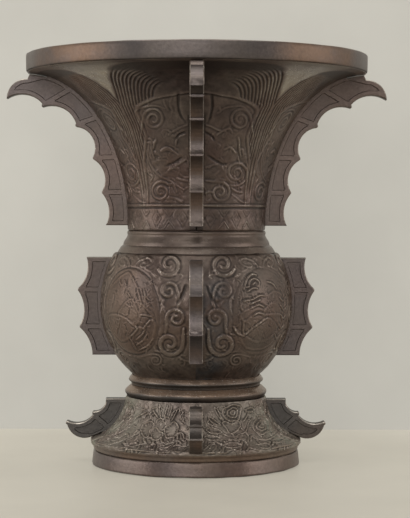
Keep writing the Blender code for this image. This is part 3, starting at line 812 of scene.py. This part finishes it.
def flange_mesh(name, outline, panels, finish):
    """A thick plate with rounded edges and panels sunk in both sides."""
    shape = bmesh.new()
    worn_and_lit = shape.faces.layers.float.new("wear_and_light")
    warmth = shape.faces.layers.float.new("warmth")
    half = FLANGE_THICKNESS / 2.0

    def loop(points, offset):
        corners = [shape.verts.new((radius * MM, offset * MM, height * MM)) for radius, height in points]
        return joined(shape, corners)

    def bridge(first, second, wear_and_light):
        made = bmesh.ops.bridge_loops(shape, edges=first + second)["faces"]
        for face in made:
            face[worn_and_lit] = wear_and_light
        return made

    def fill(edges, wear_and_light):
        for face in bmesh.ops.triangle_fill(shape, use_beauty=True, edges=edges)["geom"]:
            if isinstance(face, bmesh.types.BMFace):
                face[worn_and_lit] = wear_and_light

    outline = spaced(outline)
    walls = {side: loop(outline, side * (half - EDGE_ROUND)) for side in (1.0, -1.0)}
    bridge(walls[1.0], walls[-1.0], 0.0)
    thick_edge = list(shape.faces)
    rounded = []
    for side in (1.0, -1.0):
        face_edge = loop(shrunk(outline, EDGE_ROUND), side * half)
        rounded += bridge(walls[side], face_edge, 0.0)
        rims = []
        for panel in panels:
            panel = spaced(panel)
            rim = loop(shrunk(panel, -PANEL_SLOPE), side * half)
            floor = loop(panel, side * (half - PANEL_DEPTH))
            bridge(rim, floor, SLOPE_WEAR)
            fill(floor, FLOOR_WEAR)
            rims += rim
        fill(face_edge + rims, FACE_WEAR)
    bmesh.ops.recalc_face_normals(shape, faces=shape.faces)
    # The thick edge is painted darker where it faces down, as shade under each peak, lighter where it faces
    # up, and warmer where it faces down; the rounded edges are polished, with a painted highlight where they
    # face up
    for face in thick_edge:
        up = max(face.normal.z, 0.0)
        face[worn_and_lit] = (EDGE_UNDERSIDE_SHADE * min(face.normal.z, 0.0) + UPWARD_FACE_LIGHT * up * float(smooth(0.65, 0.35, up))
                      - 0.2 * up)
        face[warmth] = 0.6 * float(smooth(0.0, -0.4, face.normal.z))
    for face in rounded:
        face[worn_and_lit] = ROUND_WEAR + 2.2 * UPWARD_FACE_LIGHT * max(face.normal.z, 0.0)
    return finished(shape, name, finish)


def set_flanges(tier, outline, panels, finish):
    """Set four flanges of one shape round the vase."""
    mesh = flange_mesh(tier + "_flange", outline, panels, finish)
    for side, degrees in SIDES.items():
        set_turned(tier + "_fin_" + side, mesh, degrees, tier + "_flange_" + side)


foot_top = FOOT_EDGE[0][1]
foot_edge = scalloped(FOOT_EDGE)
foot_line = [FLARE_START] + arc(FLARE_START, FLARE_END, FLARE_SAG, 18)
foot_let = moved(foot_line[:LET_POINTS], LET_IN)
foot_clear = moved(foot_line[LET_POINTS - 1:], -0.6)
foot_outline = foot_edge + foot_clear[::-1] + foot_let[::-1]
foot_outline = clipped(foot_outline, (0.0, foot_top + 0.001), 0.0)
foot_panel = clipped(bordered(foot_edge) + moved(foot_line, -3.0)[::-1], (0.0, foot_top - BORDER), 0.0)
foot_flange_bronze = bronze("foot_flange_bronze", (0.066, 0.060, 0.055), 0.25, 0.20)
set_flanges("foot", foot_outline, panels_of(foot_panel, FOOT_RIBS), foot_flange_bronze)

# Waist rings: two bronze mouldings, turned and slid over the foot's collar before the belly
# is set down. Their upward faces are painted a light copper tan and their downward faces darker, as light
# from above; their noses keep the base brown.
RING_BORE = 49.9
upper_ring = [(RING_BORE, 71.3), (51.4, 71.3), (51.9, 70.9), (52.7, 69.9), (53.4, 68.9), (53.9, 68.0),
              (54.1, 67.3), (53.9, 66.7), (53.4, 66.2), (52.5, 65.6), (52.0, 64.9), (51.7, 63.9),
              (51.6, 63.5), (RING_BORE, 63.5)]
lower_ring = [(RING_BORE, 63.2), (51.5, 63.2), (52.3, 62.9), (53.8, 61.7), (55.3, 60.4), (56.2, 59.5),
              (56.8, 58.7), (56.95, 58.0), (56.8, 57.2), (56.4, 56.3), (55.7, 55.2), (55.1, 54.5),
              (54.6, 54.2), (RING_BORE, 54.2)]
ring_bronze = bronze("ring_bronze", (0.072, 0.063, 0.058), 0.55, 0.35, warm=(0.190, 0.108, 0.066),
                     rubbed_and_lit=(0.330, 0.215, 0.140))
set_ring("upper_waist_moulding", "waist_ring_upper", upper_ring, ring_bronze, 0.08, 0.9)
set_ring("lower_waist_moulding", "waist_ring_lower", lower_ring, ring_bronze, 0.08, 0.9)

# Floor plate and its solder: a plain bronze disc dropped on a ledge in the belly, sealed
# by a run of grey solder. Both are seen only through the mouth.
for node, finish in (("floor_plate", bronze("raw_floor_bronze", (0.120, 0.088, 0.062), 0.5, 0.5)),
                     ("floor_solder", bronze("dull_solder", (0.180, 0.180, 0.175), 0.0, 0.5))):
    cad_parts[node].data.materials.clear()
    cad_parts[node].data.materials.append(finish)

# Belly: the globe of the vase, cast and chased. Scrolls wind up beside each flange, and an
# oval of landscape stands between two flanges, peaks in one and wooded hills in the next.
BELLY_RADIUS = 76.9
BELLY_CENTRE = 129.2
BELLY_ROW = 0.5
BELLY_STEPS = 220
OVAL_CENTRE = 124.5
OVAL_HALF_WIDTH = 32.0
OVAL_HALF_HEIGHT = 34.0
DRAWN_SHARE = 0.96
# Scrolls: the points of a stem, then the scroll's centre, radius, first angle and turns.
# They and the leaves are drawn in mm, across from the flange and up.
SCROLLS = [
    ([], (20.5, 161.8, 9.5, -22.0, -1.3)),
    ([(14.2, 128.4), (12.6, 134.7), (13.4, 140.5)], (21.0, 141.4, 7.2, 180.0, -1.35)),
    ([(23.6, 108.3), (22.6, 114.2)], (15.0, 120.8, 7.6, 0.0, 1.3)),
    ([(9.4, 112.5), (9.4, 106.7)], (20.2, 100.8, 10.3, 180.0, 1.35)),
    ([(42.0, 89.0), (35.4, 91.5)], (31.0, 87.0, 4.8, 105.0, 1.6)),
    ([], (11.0, 85.3, 3.1, 60.0, 1.3)),
    ([], (57.0, 162.0, 5.2, 215.0, -1.3))]
LEAVES = [
    (17.2, 153.5, 13.4, 154.2, 10, 152.9, 12.1, 151.2), (40.3, 159.1, 34.5, 156.3, 30.2, 159.8),
    (34.1, 155.1, 30.1, 151.8), (28.2, 138.3, 26.2, 134.1, 25.8, 128.2, 27.5, 123),
    (32, 94.7, 25.9, 94, 19.9, 96.5), (13.4, 90.3, 8.7, 87.7, 5.3, 86.8),
    (29.4, 116, 33.3, 110.6, 36.8, 106.1), (41.4, 164.2, 37, 166.8, 33.5, 162.7)]
FLANGE_GROOVE = [(8.0, 146.5), (10.0, 139.4), (14.7, 131.7)]


def wound(points, centre_x, centre_z, radius, start, turns):
    """A drawn stem that ends in a scroll, winding in to its eye."""
    share = np.linspace(0.0, 1.0, int(abs(turns) * 16) + 2)
    angle = np.radians(start + 360.0 * turns * share)
    reach = radius * (1.0 - 0.80 * share)
    scroll = np.stack([centre_x + reach * np.cos(angle), centre_z + reach * np.sin(angle)], axis=1)
    return [*points, *scroll]


def from_flange(sheet, drawings, far_end):
    """Lines drawn in the front view from a flange's centre line, as turns and heights."""
    lines = []
    for points in drawings:
        across, height = flowing(points).T
        turn = np.degrees(np.arcsin(np.clip(across / radius_at(sheet, height), -0.99, 0.99)))
        lines.append(np.stack([90.0 - turn if far_end else turn, height], axis=1))
    return lines


def in_oval(points, closed=False):
    """A line drawn in the oval, from -100 to 100 across and up, as turns and heights."""
    line = flowing(points, closed) / 100.0
    height = OVAL_CENTRE + OVAL_HALF_HEIGHT * line[:, 1] * DRAWN_SHARE
    radius = np.sqrt(BELLY_RADIUS ** 2 - (height - BELLY_CENTRE) ** 2)
    return np.stack([45.0 + np.degrees(OVAL_HALF_WIDTH * line[:, 0] / radius), height], axis=1)


# Lines in the oval: pairs across and up from its middle, in hundredths
PEAKS = [
    (-8, 93, 14, 79, 31, 62, 44, 38, 52, 10, 40, -18, -20, -30, -75, -20, -84, 33, -50, 69),
    (-30, -12, -16, 7, 3, 24, 19, 31, 33, 14, 43, -6, 40, -24, 5, -30),
    (50, 20, 67, 7, 82, -7, 78, -26, 54, -24, 45, -2),
    (-76, -16, -36, -10, 3, -19, 33, -38, 20, -50, 2, -62, -34, -72, -64, -50),
    (33, -38, 54, -36, 74, -17, 86, -28, 74, -56, 48, -80, 14, -92, 6, -70)]
PEAK_LINES = [
    (30, 60, 35, 42, 46, 22), (-40, 52, -50, 22, -60, 0), (60, 10, 70, -4, 76, -18), (19, 27, 15, 6, 4, -12),
    (-5, 80, -2, 60, -10, 40), (-50, -22, -40, -44, -48, -58), (62, 42, 70, 24, 84, 12),
    (-10, -26, -4, -44, -16, -60)]
BRANCHES = [
    (3, -19, 19, -31, 33, -38, 20, -50, 2, -62, 9, -76, 13, -90), (-36, -40, -30, -28, -24, -16),
    (50, -40, 62, -28, 74, -17), (16, -80, 42, -67, 62, -48), (24, -90, 52, -79, 74, -60),
    (22, -66, 42, -54, 56, -40), (46, -6, 62, -6, 80, -10), (12, 82, 21, 72), (-13, 75, -6, 64),
    (6, 46, 15, 35), (-32, 74, -25, 60), (54, 56, 60, 40, 74, 28)]
HILLS = [
    (-74, 26, -47, 31, -22, 41, 5, 40, 35, 48, 70, 36, 80, 10, 0, 0, -70, 4),
    (-78, -2, -52, 10, -41, 15, -26, 18, -8, 12, 0, -10, -40, -22, -72, -16),
    (-9, -6, 6, 14, 25, 20, 50, 12, 58, -8, 25, -14),
    (-64, -25, -44, -7, -26, -1, -5, -6, 56, -8, 70, -30, 10, -48, -50, -46),
    (-60, -54, -41, -38, -16, -24, 6, -15, 36, -28, 50, -48, 10, -66, -34, -66),
    (-90, -34, -79, -48, -56, -56, -20, -70, 20, -66, 55, -48, 42, -76, 0, -90, -50, -80)]
TWIGS = [
    (-68, 55, -60, 69, -50, 82, -36, 90, -22, 88), (-52, 58, -47, 74, -32, 80, -18, 72, -22, 62),
    (-58, 50, -40, 58, -26, 56), (-40, 66, -30, 72), (-62, 60, -50, 62), (-71, 29, -47, 31, -22, 40, -5, 38),
    (-52, 20, -34, 26, -20, 30), (-52, 10, -41, 14, -26, 18, -9, 12),
    (-68, -19, -66, -38, -60, -52, -41, -38, -16, -24, 6, -14), (-94, -31, -79, -48, -60, -55),
    (-44, -7, -26, -1, -5, -6), (10, 72, 30, 66, 46, 52), (62, -10, 74, -26, 66, -48),
    (62, 56, 78, 34, 84, 6, 82, -20), (52, 34, 70, 24, 92, 32), (58, 14, 76, 2, 95, 10),
    (60, -8, 78, -18, 95, -10), (56, -30, 74, -42, 90, -34), (44, -54, 62, -66, 78, -56)]


def belly_curve(wall, first, last, steps):
    """The belly's globe, moved wall into the metal, between two heights."""
    radius = BELLY_RADIUS - wall
    first, last = (math.asin((height - BELLY_CENTRE) / radius) for height in (first, last))
    angles = np.linspace(first, last, steps + 1)
    return list(zip(radius * np.cos(angles), BELLY_CENTRE + radius * np.sin(angles)))


belly_inside = [(45.3, 71.6), (45.3, 57.5), (41.6, 57.5), (41.6, 73.6), (46.0, 73.6), (46.0, 77.4)]
belly_inside += belly_curve(4.2, 77.4, 163.0, 24) + [(57.6, 166.0), (57.6, 168.9)]
belly_bronze = bronze("belly_bronze", BROWN, 0.45, 0.50, green=(0.072, 0.070, 0.072))


def belly_quarter(name, wooded):
    """A quarter of the belly: scrolls beside both flanges and a landscape between them."""
    sheet = open_sheet([(64.8, 168.9)] + belly_curve(0.0, 167.8, 73.4, 80) + [(51.5, 72.3), (51.3, 71.6)],
                       BELLY_ROW, BELLY_STEPS)
    sheet["high"] += 0.12 * waves(sheet["place"], 13.0, 7) + 0.04 * waves(sheet["place"], 5.0, 8)
    chasing = strewn(sheet, seed=23, count=190, turns=(3.0, 87.0), heights=(78.0, 166.0), length=6.0)
    ribbons(sheet, chasing, 0.5, 0.26)
    for far_end in (False, True):
        ribbons(sheet, from_flange(sheet, LEAVES, far_end), 0.60, 0.38)
        for points, scroll in SCROLLS:
            half = 0.17 * scroll[2]
            ribbons(sheet, from_flange(sheet, [wound(points, *scroll)], far_end), half, 0.42, 0.45)
        cuts(sheet, from_flange(sheet, [FLANGE_GROOVE], far_end), 0.8, 0.8)
    sheet["high"] = 1.4 * blurred(sheet["high"], 1)
    around = np.linspace(0.0, math.tau, 49)[:-1]
    oval = in_oval(100.0 * np.stack([np.cos(around), np.sin(around) / DRAWN_SHARE], axis=1), True)
    pad(sheet, oval, 0.0, 0.12)
    cuts(sheet, [oval], 0.7, 0.15 if wooded else 0.55)
    if wooded:
        for hill in HILLS:
            pad(sheet, in_oval(hill, True), 0.36, 0.15)
        ribbons(sheet, map(in_oval, TWIGS), 0.7, 0.8)
    else:
        for peak in PEAKS:
            pad(sheet, in_oval(peak, True), 0.40, 0.14)
        cuts(sheet, map(in_oval, PEAK_LINES), 0.6, 0.45)
        ribbons(sheet, map(in_oval, BRANCHES), 0.55, 0.9)
    leafage = strewn(sheet, seed=24, count=110, turns=(24.0, 66.0), heights=(97.0, 152.0), length=6.0)
    ribbons(sheet, leafage, 0.42, 0.42)
    sheet["high"] = blurred(sheet["high"], 1)
    height, turn = sheet["section"][:, 1:], sheet["turn"][None]
    across = np.radians(turn - 45.0) * sheet["section"][:, :1] / OVAL_HALF_WIDTH
    in_frame = smooth(1.05, 0.85, np.hypot(across, (height - OVAL_CENTRE) / OVAL_HALF_HEIGHT))
    if wooded:
        sheet["verdigris"] += 0.9 * smooth(26.0, 12.0, turn) * smooth(160.0, 140.0, height)
    else:
        sheet["warmth"] += 0.45 * in_frame
    # The bottom of the globe is painted darker as shade, and the oval a little darker as patina
    settled(sheet, 1.0, -0.11 * in_frame - 0.35 * smooth(92.0, 78.0, height), 0.72 if wooded else 0.62)
    return cast_quarter(name, sheet, belly_inside, belly_bronze)


set_quarters("belly", belly_quarter("belly_peaks", False), belly_quarter("belly_woods", True))

# Belly flanges: four taller fins of the same make, with three scallops each. Their whole
# root is let into the globe.
BELLY_EDGE = [(87.9, 165.2), (94.9, 139.2, 3.6), (93.4, 109.6, 3.75), (83.2, 86.8, 2.5)]
BELLY_RIBS = [(94.9, 139.2, 180.0), (93.4, 109.6, 180.0)]
belly_top, belly_low = BELLY_EDGE[0][1], BELLY_EDGE[-1][1]
belly_edge = scalloped(BELLY_EDGE)
belly_outline = belly_edge + belly_curve(LET_IN, belly_low, belly_top, 20)
belly_panel = bordered(belly_edge) + belly_curve(-2.6, belly_low, belly_top, 20)
belly_panel = clipped(belly_panel, (0.0, belly_low + BORDER), 180.0)
belly_panel = clipped(belly_panel, (0.0, belly_top - BORDER), 0.0)
flange_bronze = bronze("fin_bronze", (0.080, 0.065, 0.062), 0.22, 0.25)
set_flanges("belly", belly_outline, panels_of(belly_panel, BELLY_RIBS), flange_bronze)

# Shoulder ring: a small bead over two smooth turned slopes, which join the neck to the belly.
# A spigot below drops into the belly's mouth, and the neck's spigot drops into its bore.
shoulder = [(50.6, 186.7), (54.3, 186.7), (54.9, 186.4), (55.3, 185.8), (55.5, 185.0), (55.4, 184.3),
            (55.1, 183.6), (55.2, 182.8), (55.7, 181.6), (56.5, 180.3), (57.3, 179.1), (58.0, 177.9),
            (58.4, 176.8), (58.6, 175.8), (58.8, 175.0), (59.3, 174.7), (60.2, 174.1), (61.0, 173.1),
            (61.8, 171.9), (62.6, 170.6), (63.3, 169.4), (63.4, 169.2), (57.3, 169.2), (57.3, 164.5),
            (53.2, 164.5), (53.2, 172.0), (50.6, 176.0)]
shoulder_bronze = bronze("shoulder_bronze", (0.098, 0.070, 0.058), 0.30, 0.50)
# Like the other rings, its upward faces are painted lighter and its downward ones darker
set_ring("shoulder_moulding", "shoulder_ring", shoulder, shoulder_bronze, 0.10)

# Neck: the trumpet of the vase, cast and chased. A horned mask in scrolls faces out on each
# flange, ripples run round each panel to the lip, and a lozenge band closes it below.
LIP_RADIUS = 135.2
THROAT_RADIUS = 55.5
THROAT_HEIGHT = 192.4
NECK_RISE = 119.5
NECK_ROW = 0.50
NECK_STEPS = 250
RIPPLES = 11.0
RIPPLE_FIRST = 0.52
PANEL_CORNER = 7.0
BAND_TOP = 206.6
SWAG_TOP = 203.8
LOZENGE_MIDDLE = 196.4
LOZENGE = [(0.0, 6.6), (4.6, 0.4), (0.0, -7.2), (-4.6, 0.4), (0.0, 6.6)]
# The mask on both sides of a flange, at the start and the end of a quarter, drawn as on the belly
START_SCROLLS = [
    ([(42.8, 252.9), (43.7, 259.6), (42.5, 266.1)], (33.1, 272.0, 8.6, 0.0, 1.8)),
    ([(24.5, 222.5), (30.2, 221.8)], (30.9, 231.9, 9.1, -60.0, 1.7)),
    ([(6.8, 225.6), (12.8, 225.2)], (18.2, 216.8, 8.2, 95.0, -1.6))]
START_BANDS = [
    (15.2, 275.8, 21.1, 280.1, 28.8, 281.7, 34.8, 281.4, 40.5, 278.2),
    (5.4, 268.1, 11, 266.5, 16.1, 264.1, 22.1, 263.2), (6.3, 235.6, 11.1, 237.3, 15.8, 238.3),
    (20.5, 249.3, 25.7, 251.1, 30.1, 246.9), (26.8, 215.5, 30.7, 212.6, 35.2, 209.6, 40.5, 208.4),
    (25.9, 221.1, 30.3, 217.7, 35.6, 216.8), (6.3, 216, 10.2, 217.3, 12.8, 216.4),
    (14.9, 260, 17.8, 262.2, 21.3, 264.1, 25.1, 265.1, 27.4, 261.7), (43.9, 276.3, 42.5, 269.6, 43.9, 262.8),
    (31.3, 259.3, 32.6, 256.2, 33, 250, 34.1, 244.3), (8.9, 235.4, 11.8, 237.3, 14.7, 238.6),
    (14.4, 226.5, 18.3, 226.9, 22.1, 225.9), (16.3, 282, 17.9, 278.1, 15.4, 276.3),
    (15.6, 254.1, 17.8, 252.5, 16.2, 249.7), (41.5, 254.6, 42.9, 250.2, 41.6, 244.5),
    (46.5, 284.9, 49.9, 282.6, 48.8, 277.8), (28.6, 229.5, 31.3, 227, 33.9, 225.1),
    (38.7, 241.2, 39.1, 234.2, 37.9, 227.1)]
START_GROOVES = [
    (10.8, 290.4, 11.6, 283.3, 11.1, 277.8, 9.7, 272.2, 8, 268.9), (5.8, 262.4, 11, 259.6, 14, 255.5),
    (8.3, 245.2, 13.6, 241.5, 20.6, 238.6, 25.8, 239)]
END_SCROLLS = [
    ([(42.2, 252.9), (43.1, 259.5), (42.2, 266.1)], (32.8, 272.0, 8.6, 0.0, 1.8)),
    ([(15.3, 216.8), (17.9, 222.7)], (27.5, 217.3, 8.2, 140.0, -1.7))]
END_BANDS = [
    (48.3, 276.8, 44.6, 279.9, 37.7, 281.5, 30.8, 281.6, 23.9, 279.9),
    (6.5, 267.8, 12.1, 265.9, 17.2, 263.3, 20.3, 261.3), (25.9, 260.5, 23.7, 263.8, 19.8, 262.5, 21.6, 260.1),
    (8.3, 241.6, 13.9, 238.1, 19.1, 234.8), (27.7, 247.8, 22.5, 249.3, 15.6, 246.8),
    (38.9, 249.5, 37.4, 242.9, 34, 235.3, 27.9, 229, 20, 225.2, 14, 221.1, 9.6, 218.5),
    (39.4, 236.2, 38, 232, 33.8, 228.8, 35.8, 225), (23.5, 212, 17.4, 212.3, 10.1, 210),
    (26.7, 261.7, 25.4, 263.9, 22.2, 264.1, 20, 261.9), (27.9, 248, 25.2, 250.1, 21.1, 250.4, 14, 245),
    (15.9, 252.2, 15.3, 256.6, 12.7, 259.4, 9.2, 260.3), (34.9, 253.8, 34.4, 248.1, 32.8, 242.3),
    (21.8, 233.3, 18.6, 235.5, 13.7, 234.8), (39.4, 239.3, 38.5, 234.8, 36.2, 230.3),
    (15.4, 227.5, 11.5, 226.2, 7, 225.5), (25.1, 286.6, 23.9, 282.4, 21.4, 278.2),
    (18.8, 287.7, 20.1, 283.6, 18.3, 278.1), (21.9, 213.4, 16.7, 211.8, 10.9, 208.9),
    (47.8, 277.1, 46, 272.8, 43.5, 268.4), (31, 257.5, 32.7, 253.7, 33.4, 250)]
END_GROOVES = [
    (13.6, 291.2, 13.9, 283.3, 13.3, 277.8, 11.2, 273, 7.8, 269.3), (8.7, 262.4, 13.4, 260, 15.6, 255.9),
    (10.9, 243.7, 16.5, 239.9, 24.3, 236.6)]


def neck_curve(wall, first, last, steps):
    """The neck's flare, moved wall into the metal, between two angles on its quarter oval."""
    angles = np.radians(np.linspace(first, last, steps + 1))
    return list(zip(LIP_RADIUS - (LIP_RADIUS - THROAT_RADIUS + wall) * np.cos(angles),
                    THROAT_HEIGHT + (NECK_RISE + wall) * np.sin(angles)))


def ripple(sheet):
    """Nested ripples that rise from a panel and turn along the lip, and the panel's raised border.

    Gives the tone that goes with them: painted shade under the lip and beside the flange above the panel, the
    plain corners past the ripples polished and painted lighter, and the panel a touch darker.
    """
    section = sheet["section"]
    radius, height = section[:, :1], section[:, 1:]
    run = run_along(section)[:, None]
    turn = np.minimum(sheet["turn"], 90.0 - sheet["turn"])[None]
    side = np.interp(height, (187.0, 207.5, 241.4, 259.8, 272.4, 281.1, 312.2),
                     (43.4, 43.0, 41.0, 34.7, 36.0, 37.5, 39.0))
    crest = np.interp(turn, (0.0, 20.7, 33.0, 38.0, 45.0), (292.3, 287.9, 283.1, 281.1, 278.2))
    past_side = (turn - side) * radius * math.radians(1.0)
    past_top = np.interp(crest, section[::-1, 1], run[::-1, 0]) - run
    past = (past_side + past_top + np.hypot(past_side - past_top, PANEL_CORNER)) / 2.0
    up = RIPPLE_FIRST + (1.0 - RIPPLE_FIRST) * (radius - 100.0) / 24.0
    aside = turn / np.interp(height, (283.0, 302.0, 312.0), (45.5, 39.5, 36.0))
    share = (aside ** 4 + np.maximum(up, 0.0) ** 4) ** 0.25
    count = (share - RIPPLE_FIRST) / (1.0 - RIPPLE_FIRST) * RIPPLES
    faint = 0.85 * smooth(278.0, 262.0, height)
    strength = smooth(0.8, 2.2, past) * smooth(-0.7, -0.3, count)
    strength = strength * (faint + (1.0 - faint) * smooth(RIPPLES + 0.6, RIPPLES + 0.3, count))
    strength = strength * smooth(207.5, 221.0, height) * smooth(0.66, 0.88, aside / share)
    sheet["high"] -= 0.80 * strength * (0.5 + 0.5 * np.cos(math.tau * count)) ** 1.8
    border = 0.40 * np.exp(-(past / 1.0) ** 2) - 0.40 * np.exp(-((past + 1.9) / 0.8) ** 2)
    sheet["high"] += smooth(205.0, 208.0, height) * border * np.where(past_top > past_side, 0.80, 0.70)
    painted_shade = smooth(-2.0, 6.0, past_top) * smooth(36.0, 24.0, turn) + 2.0 * smooth(306.0, 308.5, height)
    rubbed_and_lit_corners = smooth(RIPPLES + 0.2, RIPPLES + 2.2, count) * smooth(255.0, 280.0, height)
    return 1.10 * rubbed_and_lit_corners - 0.32 * painted_shade - 0.09 * smooth(0.0, -3.0, past)


neck_inside = [(50.3, 187.0), (50.3, 177.5), (46.8, 177.5), (46.8, 187.0)] + neck_curve(4.0, 0.0, 83.0, 40)
neck_inside += [(125.0, 316.7), (128.3, 316.7), (128.3, 312.2)]
# Its pale colour is light enough for the painted light on the plain corners under the lip
neck_bronze = bronze("neck_bronze", (0.076, 0.051, 0.045), 0.40, 0.45, rubbed_and_lit=(0.330, 0.288, 0.232))
neck_sheet = open_sheet([(135.2, 312.2)] + neck_curve(0.0, 90.0, 0.0, 90) + [(55.2, 187.8), (54.4, 187.0)],
                        NECK_ROW, NECK_STEPS)
neck_sheet["high"] += 0.11 * waves(neck_sheet["place"], 15.0, 11) + 0.04 * waves(neck_sheet["place"], 5.0, 12)
for turns in ((2.0, 36.0), (54.0, 88.0)):
    chasing = strewn(neck_sheet, seed=22, count=65, turns=turns, heights=(211.0, 282.0), length=9.0)
    ribbons(neck_sheet, chasing, 0.5, 0.22)
    scratches = strewn(neck_sheet, seed=25, count=40, turns=turns, heights=(189.5, 203.0), length=4.0)
    cuts(neck_sheet, scratches, 0.45, 0.18)
for far_end, scrolls, bands, grooves in ((False, START_SCROLLS, START_BANDS, START_GROOVES),
                                         (True, END_SCROLLS, END_BANDS, END_GROOVES)):
    ribbons(neck_sheet, from_flange(neck_sheet, bands, far_end), 0.65, 0.40)
    winding = [wound(points, *scroll) for points, scroll in scrolls]
    ribbons(neck_sheet, from_flange(neck_sheet, winding, far_end), 1.05, 0.42, 0.5)
    cuts(neck_sheet, from_flange(neck_sheet, grooves, far_end), 0.8, 0.9)
neck_sheet["high"] = 1.3 * blurred(neck_sheet["high"], 2)
# The ripples' tone: painted shade under the lip, and corners polished and painted lighter
marked_tone = ripple(neck_sheet)
ribbons(neck_sheet, [[(turn, BAND_TOP) for turn in range(91)]], 0.8, 0.45)
cuts(neck_sheet, [[(turn, BAND_TOP - 2.0) for turn in range(91)]], 0.7, 0.6)
for middle in (11.25, 33.75, 56.25, 78.75):
    for size, depth in ((1.0, 0.25), (0.5, 0.15)):
        lozenge = [(middle + size * across, LOZENGE_MIDDLE + size * up) for across, up in LOZENGE]
        cuts(neck_sheet, [lozenge], 0.55, depth)
for middle in (22.5, 45.0, 67.5):
    for drop, depth in ((6.0, 0.30), (3.4, 0.20)):
        swag = [(middle - 0.9 * drop, SWAG_TOP), (middle, SWAG_TOP - drop), (middle + 0.9 * drop, SWAG_TOP)]
        cuts(neck_sheet, [flowing(swag)], 0.55, depth)
    ribbons(neck_sheet, [[(middle - 4.5, 188.8), (middle, 194.6), (middle + 4.5, 188.8)]], 0.5, 0.3)
neck_sheet["high"] *= smooth(309.0, 304.0, neck_sheet["section"][:, 1:])
settled(neck_sheet, 1.0, marked_tone, 0.45)
neck_quarter = cast_quarter("neck_quarter", neck_sheet, neck_inside, neck_bronze)
set_quarters("neck", neck_quarter, neck_quarter)

# Neck flanges: four tall fins that sweep out under the lip and end in a hooked beak. The
# root is let in up to the flare, then follows the outside to the lip.
NECK_EDGE = [(135.4, 307.8), (152.1, 291.8, -4.8), (124.0, 286.4, 5.5), (97.1, 270.9, 6.3),
             (83.1, 244.7, 6.9), (75.8, 217.3, 5.2), (72.4, 190.8, 3.7)]
NECK_RIBS = [(124.0, 286.4, 150.0), (97.1, 270.9, 160.0), (83.1, 244.7, 178.0), (75.8, 217.3, 180.0)]
ROOT_END = 79.0
neck_low = NECK_EDGE[-1][1]
neck_edge = scalloped(NECK_EDGE)
neck_root = moved(neck_curve(0.0, 0.0, ROOT_END, 30), -LET_IN)
neck_clear = moved(neck_curve(0.0, ROOT_END, 89.0, 8), 0.8)
neck_outline = neck_edge + [(neck_root[0][0], neck_low)] + neck_root + neck_clear
neck_beside = moved(neck_curve(0.0, 4.0, 80.0, 26), 3.0)
neck_panel = bordered(neck_edge) + [(neck_beside[0][0], neck_low + BORDER)] + neck_beside
neck_panel = clipped(neck_panel, (0.0, neck_low + BORDER), 180.0)
neck_flange_bronze = bronze("neck_flange_bronze", (0.089, 0.070, 0.064), 0.28, 0.25)
set_flanges("neck", neck_outline, panels_of(neck_panel, NECK_RIBS), neck_flange_bronze)

# Mouth rim: a flat-topped bronze ring seated over the neck's lip. Its brown patina is
# warm in patches; its top is painted lighter and its underside darker, as light from above.
rim = [(130.0, 326.2), (135.3, 326.2), (136.0, 325.9), (136.4, 325.2), (136.4, 322.2), (136.3, 317.2),
       (136.2, 313.5), (136.0, 312.9), (135.5, 312.5), (128.6, 312.5), (128.6, 324.8), (129.0, 325.8)]
rim_bronze = bronze("rim_bronze", (0.088, 0.074, 0.070), 0.15, 0.25, warm=(0.132, 0.074, 0.045))
rim_mesh = set_ring("mouth_ring", "mouth_rim", rim, rim_bronze, 0.06)
rim_places = places_of(rim_mesh)
bearing = np.degrees(np.abs(np.arctan2(rim_places[:, 0], -rim_places[:, 1])))
worn_sides = smooth(20.0, 34.0, bearing) * smooth(72.0, 56.0, bearing)
mark(rim_mesh, "warmth", 0.9 * (worn_sides + smooth(100.0, 130.0, bearing)))
